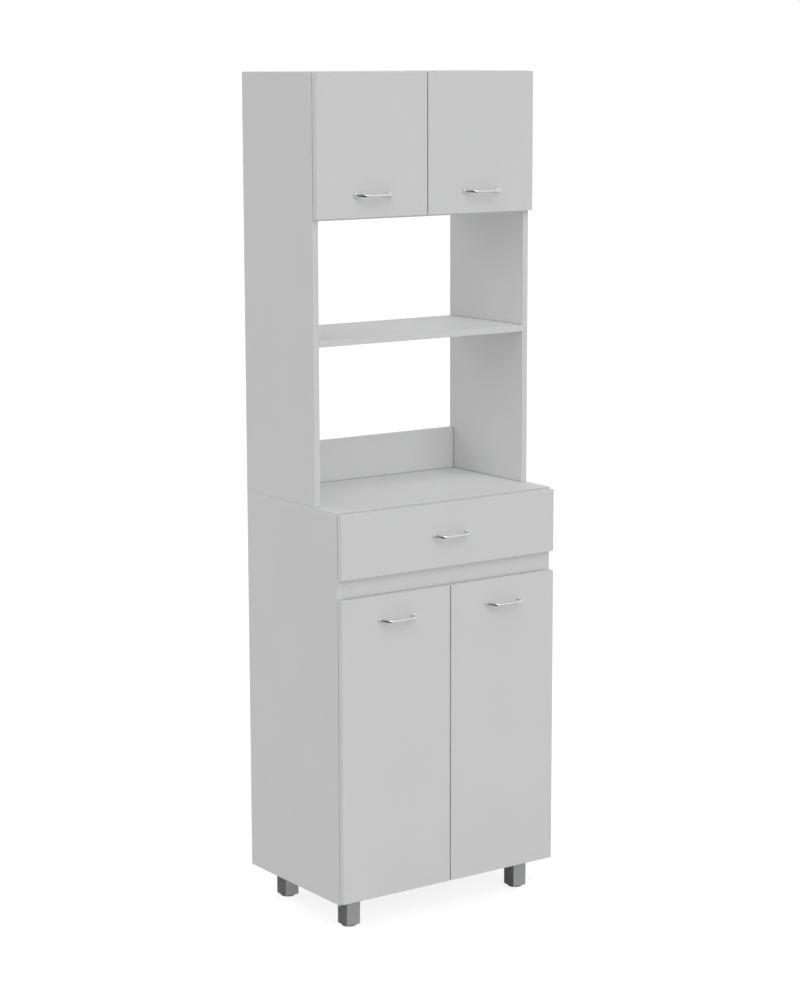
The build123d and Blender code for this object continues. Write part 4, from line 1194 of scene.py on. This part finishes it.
@dataclass
class DrawerHardware:
    """The screws of the drawer: through its sides into the back, and behind the handle."""

    board: float = 15 * MM
    back_heights: tuple[float, float] = (31 * MM, 71.5 * MM)

    def _places(self) -> list[ScrewPlace]:
        """Return the places of the screws."""
        places = []
        for side in Side:
            low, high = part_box(f"drawer_{side.name.lower()}_side")
            x = low.x if side is Side.LEFT else high.x
            for rise in self.back_heights:
                seat = Vector((x, high.y - self.board / 2, low.z + rise))
                places.append(ScrewPlace(seat, Vector((side.value, 0.0, 0.0))))
        low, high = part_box("drawer_handle")
        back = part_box("drawer_front")[1].y
        for way in (-1, 1):
            seat = Vector(((low.x + high.x) / 2 + way * HANDLE_SPACING / 2, back, (low.z + high.z) / 2))
            places.append(ScrewPlace(seat, Vector((0.0, 1.0, 0.0))))
        return places

    def build(self) -> bpy.types.Object:
        """Build the drawer's screws."""
        return ScrewSet("drawer.screws", "drawer", self._places()).build()


@dataclass(frozen=True)
class SoftSun:
    """One wide, distant light."""

    name: str
    source: Point
    strength: float
    spread: float = 50.0

    def build(self) -> None:
        """Hang the light so that it shines from its source towards the origin."""
        data = bpy.data.lights.new(self.name, "SUN")
        data.angle = math.radians(self.spread)
        data.energy = self.strength
        lamp = bpy.data.objects.new(self.name, data)
        bpy.context.scene.collection.objects.link(lamp)
        aim = (-Vector(self.source)).to_track_quat("-Z", "Y").to_matrix().to_4x4()
        lamp.matrix_world = Matrix.Translation(self.source) @ aim


@dataclass
class Studio:
    """A pale floor, a soft sky, wide distant lights and the camera of the photograph."""

    image_height: int = 1000
    sensor: float = 36.0
    focal_pixels: float = 2534.8
    position: Point = (-3.3574, -4.7455, 1.9740)
    yaw: float = 35.175
    pitch: float = 9.985
    roll: float = -0.149
    clip_end: float = 200.0
    floor_size: float = 400.0
    floor_colour: Colour = (0.82, 0.82, 0.82)
    seen_floor_colour: Colour = (0.4, 0.4, 0.4)
    floor_glow: float = 0.8
    shine_way: Point = (0.85, -0.5, 0.6)
    shine_range: tuple[float, float] = (-0.4, 0.3)
    shine_dark: float = 0.03
    sky: float = 0.284
    suns: tuple[SoftSun, ...] = (
        SoftSun("high front left", (-1.0, -1.6, 2.2), 0.285),
        SoftSun("front", (0.0, -2.0, 1.2), 0.64),
        SoftSun("overhead", (0.0, -0.3, 2.0), 0.107),
        SoftSun("left", (-1.6, -0.4, 1.6), 0.224),
        SoftSun("back left", (-1.0, 1.5, 0.8), 0.487),
        SoftSun("high back", (0.0, 1.5, 1.5), 0.312),
        SoftSun("right", (2.0, 0.2, 0.7), 0.307),
    )

    def _camera(self) -> None:
        """Set up the camera."""
        data = bpy.data.cameras.new("camera")
        data.sensor_width = self.sensor
        data.lens = self.focal_pixels * self.sensor / self.image_height
        data.clip_end = self.clip_end
        camera = bpy.data.objects.new("camera", data)
        bpy.context.scene.collection.objects.link(camera)
        turn = Matrix.Rotation(math.radians(-self.yaw), 4, "Z")
        tilt = Matrix.Rotation(math.radians(90.0 - self.pitch), 4, "X")
        lean = Matrix.Rotation(math.radians(self.roll), 4, "Z")
        camera.matrix_world = Matrix.Translation(self.position) @ turn @ tilt @ lean
        bpy.context.scene.camera = camera

    def _floor(self) -> None:
        """Lay the floor."""
        draft = MeshDraft()
        half = self.floor_size / 2
        corners = ((-half, -half), (half, -half), (half, half), (-half, half))
        draft.cap(draft.ring([Vector((x, y, 0.0)) for x, y in corners]))
        material = bpy.data.materials.new("pale floor")
        graph = fresh_graph(material)
        path = graph.add("ShaderNodeLightPath").outputs
        seen = graph.math("MAXIMUM", path["Is Camera Ray"], path["Is Transmission Ray"])
        colour = graph.mix(seen, self.floor_colour, self.seen_floor_colour)
        matte = graph.add("ShaderNodeBsdfDiffuse", None, {"Color": colour})
        strength = graph.math("MULTIPLY", seen, self.floor_glow)
        glow = graph.add("ShaderNodeEmission", None, {"Strength": strength})
        both = graph.add("ShaderNodeAddShader", None, {0: matte.outputs[0], 1: glow.outputs[0]})
        graph.add("ShaderNodeOutputMaterial", None, {"Surface": both.outputs[0]})
        floor = draft.finish("floor", material)
        floor.visible_glossy = False
        floor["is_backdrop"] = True

    def _shine(self, graph: Graph) -> bpy.types.NodeSocket:
        """Return the sky's strength as shiny pieces show it: white, but dark at the left and back left.

        Args:
            graph: The sky's graph.

        Returns:
            The socket with the strength.
        """
        place = graph.add("ShaderNodeTexCoord").outputs["Generated"]
        along = graph.add("ShaderNodeVectorMath", {"operation": "DOT_PRODUCT"}, {0: place, 1: self.shine_way})
        low, high = self.shine_range
        inputs = {
            "Value": along.outputs["Value"],
            "From Min": low,
            "From Max": high,
            "To Min": self.shine_dark,
            "To Max": 1.0,
        }
        return graph.add("ShaderNodeMapRange", None, inputs).outputs["Result"]

    def _sky(self) -> None:
        """Make the sky white where it is seen and softer where it only lights."""
        world = bpy.data.worlds.new("soft sky")
        graph = fresh_graph(world)
        path = graph.add("ShaderNodeLightPath").outputs
        seen = graph.math("MAXIMUM", path["Is Camera Ray"], path["Is Transmission Ray"])
        plain = {"Value": seen, "To Min": self.sky, "To Max": 1.0}
        strength = graph.add("ShaderNodeMapRange", None, plain).outputs["Result"]
        shiny = {"Value": path["Is Glossy Ray"], "To Min": strength, "To Max": self._shine(graph)}
        strength = graph.add("ShaderNodeMapRange", None, shiny).outputs["Result"]
        light = graph.add("ShaderNodeBackground", None, {"Color": (1.0, 1.0, 1.0, 1.0), "Strength": strength})
        graph.add("ShaderNodeOutputWorld", None, {"Surface": light.outputs[0]})
        bpy.context.scene.world = world

    def build(self) -> None:
        """Build the studio."""
        bpy.context.scene.view_settings.view_transform = "Standard"
        self._camera()
        self._floor()
        self._sky()
        for sun in self.suns:
            sun.build()


HANDLES = {
    "upper_left_handle": "upper_left_door",
    "upper_right_handle": "upper_right_door",
    "base_left_handle": "base_left_door",
    "base_right_handle": "base_right_door",
    "drawer_handle": "drawer",
}
FEET = ("front_left_foot", "front_right_foot", "back_left_foot", "back_right_foot")


def main() -> None:
    """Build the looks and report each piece."""
    logging.basicConfig(level=logging.INFO, format="%(name)s: %(message)s")
    LOG.info("dressed %d CAD nodes", PALETTE.dress_nodes())
    pieces = [BarHandle(node, body).build() for node, body in HANDLES.items()]
    pieces += [SquareFoot(node).build() for node in FEET]
    doors = [DoorHardware(cabinet, side) for cabinet in ("base", "upper") for side in Side]
    for door in doors:
        pieces += door.build()
    pieces += CarcassHardware(doors).build()
    pieces.append(DrawerHardware().build())
    for piece in pieces:
        LOG.info("%s: %d faces", piece.name, len(piece.data.polygons))
    Studio().build()
    boxes = {"cad": CAD_BOX, "visual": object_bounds()}
    {name: [list(corner) for corner in box] for name, box in boxes.items()}


if __name__ == "__main__":
    main()
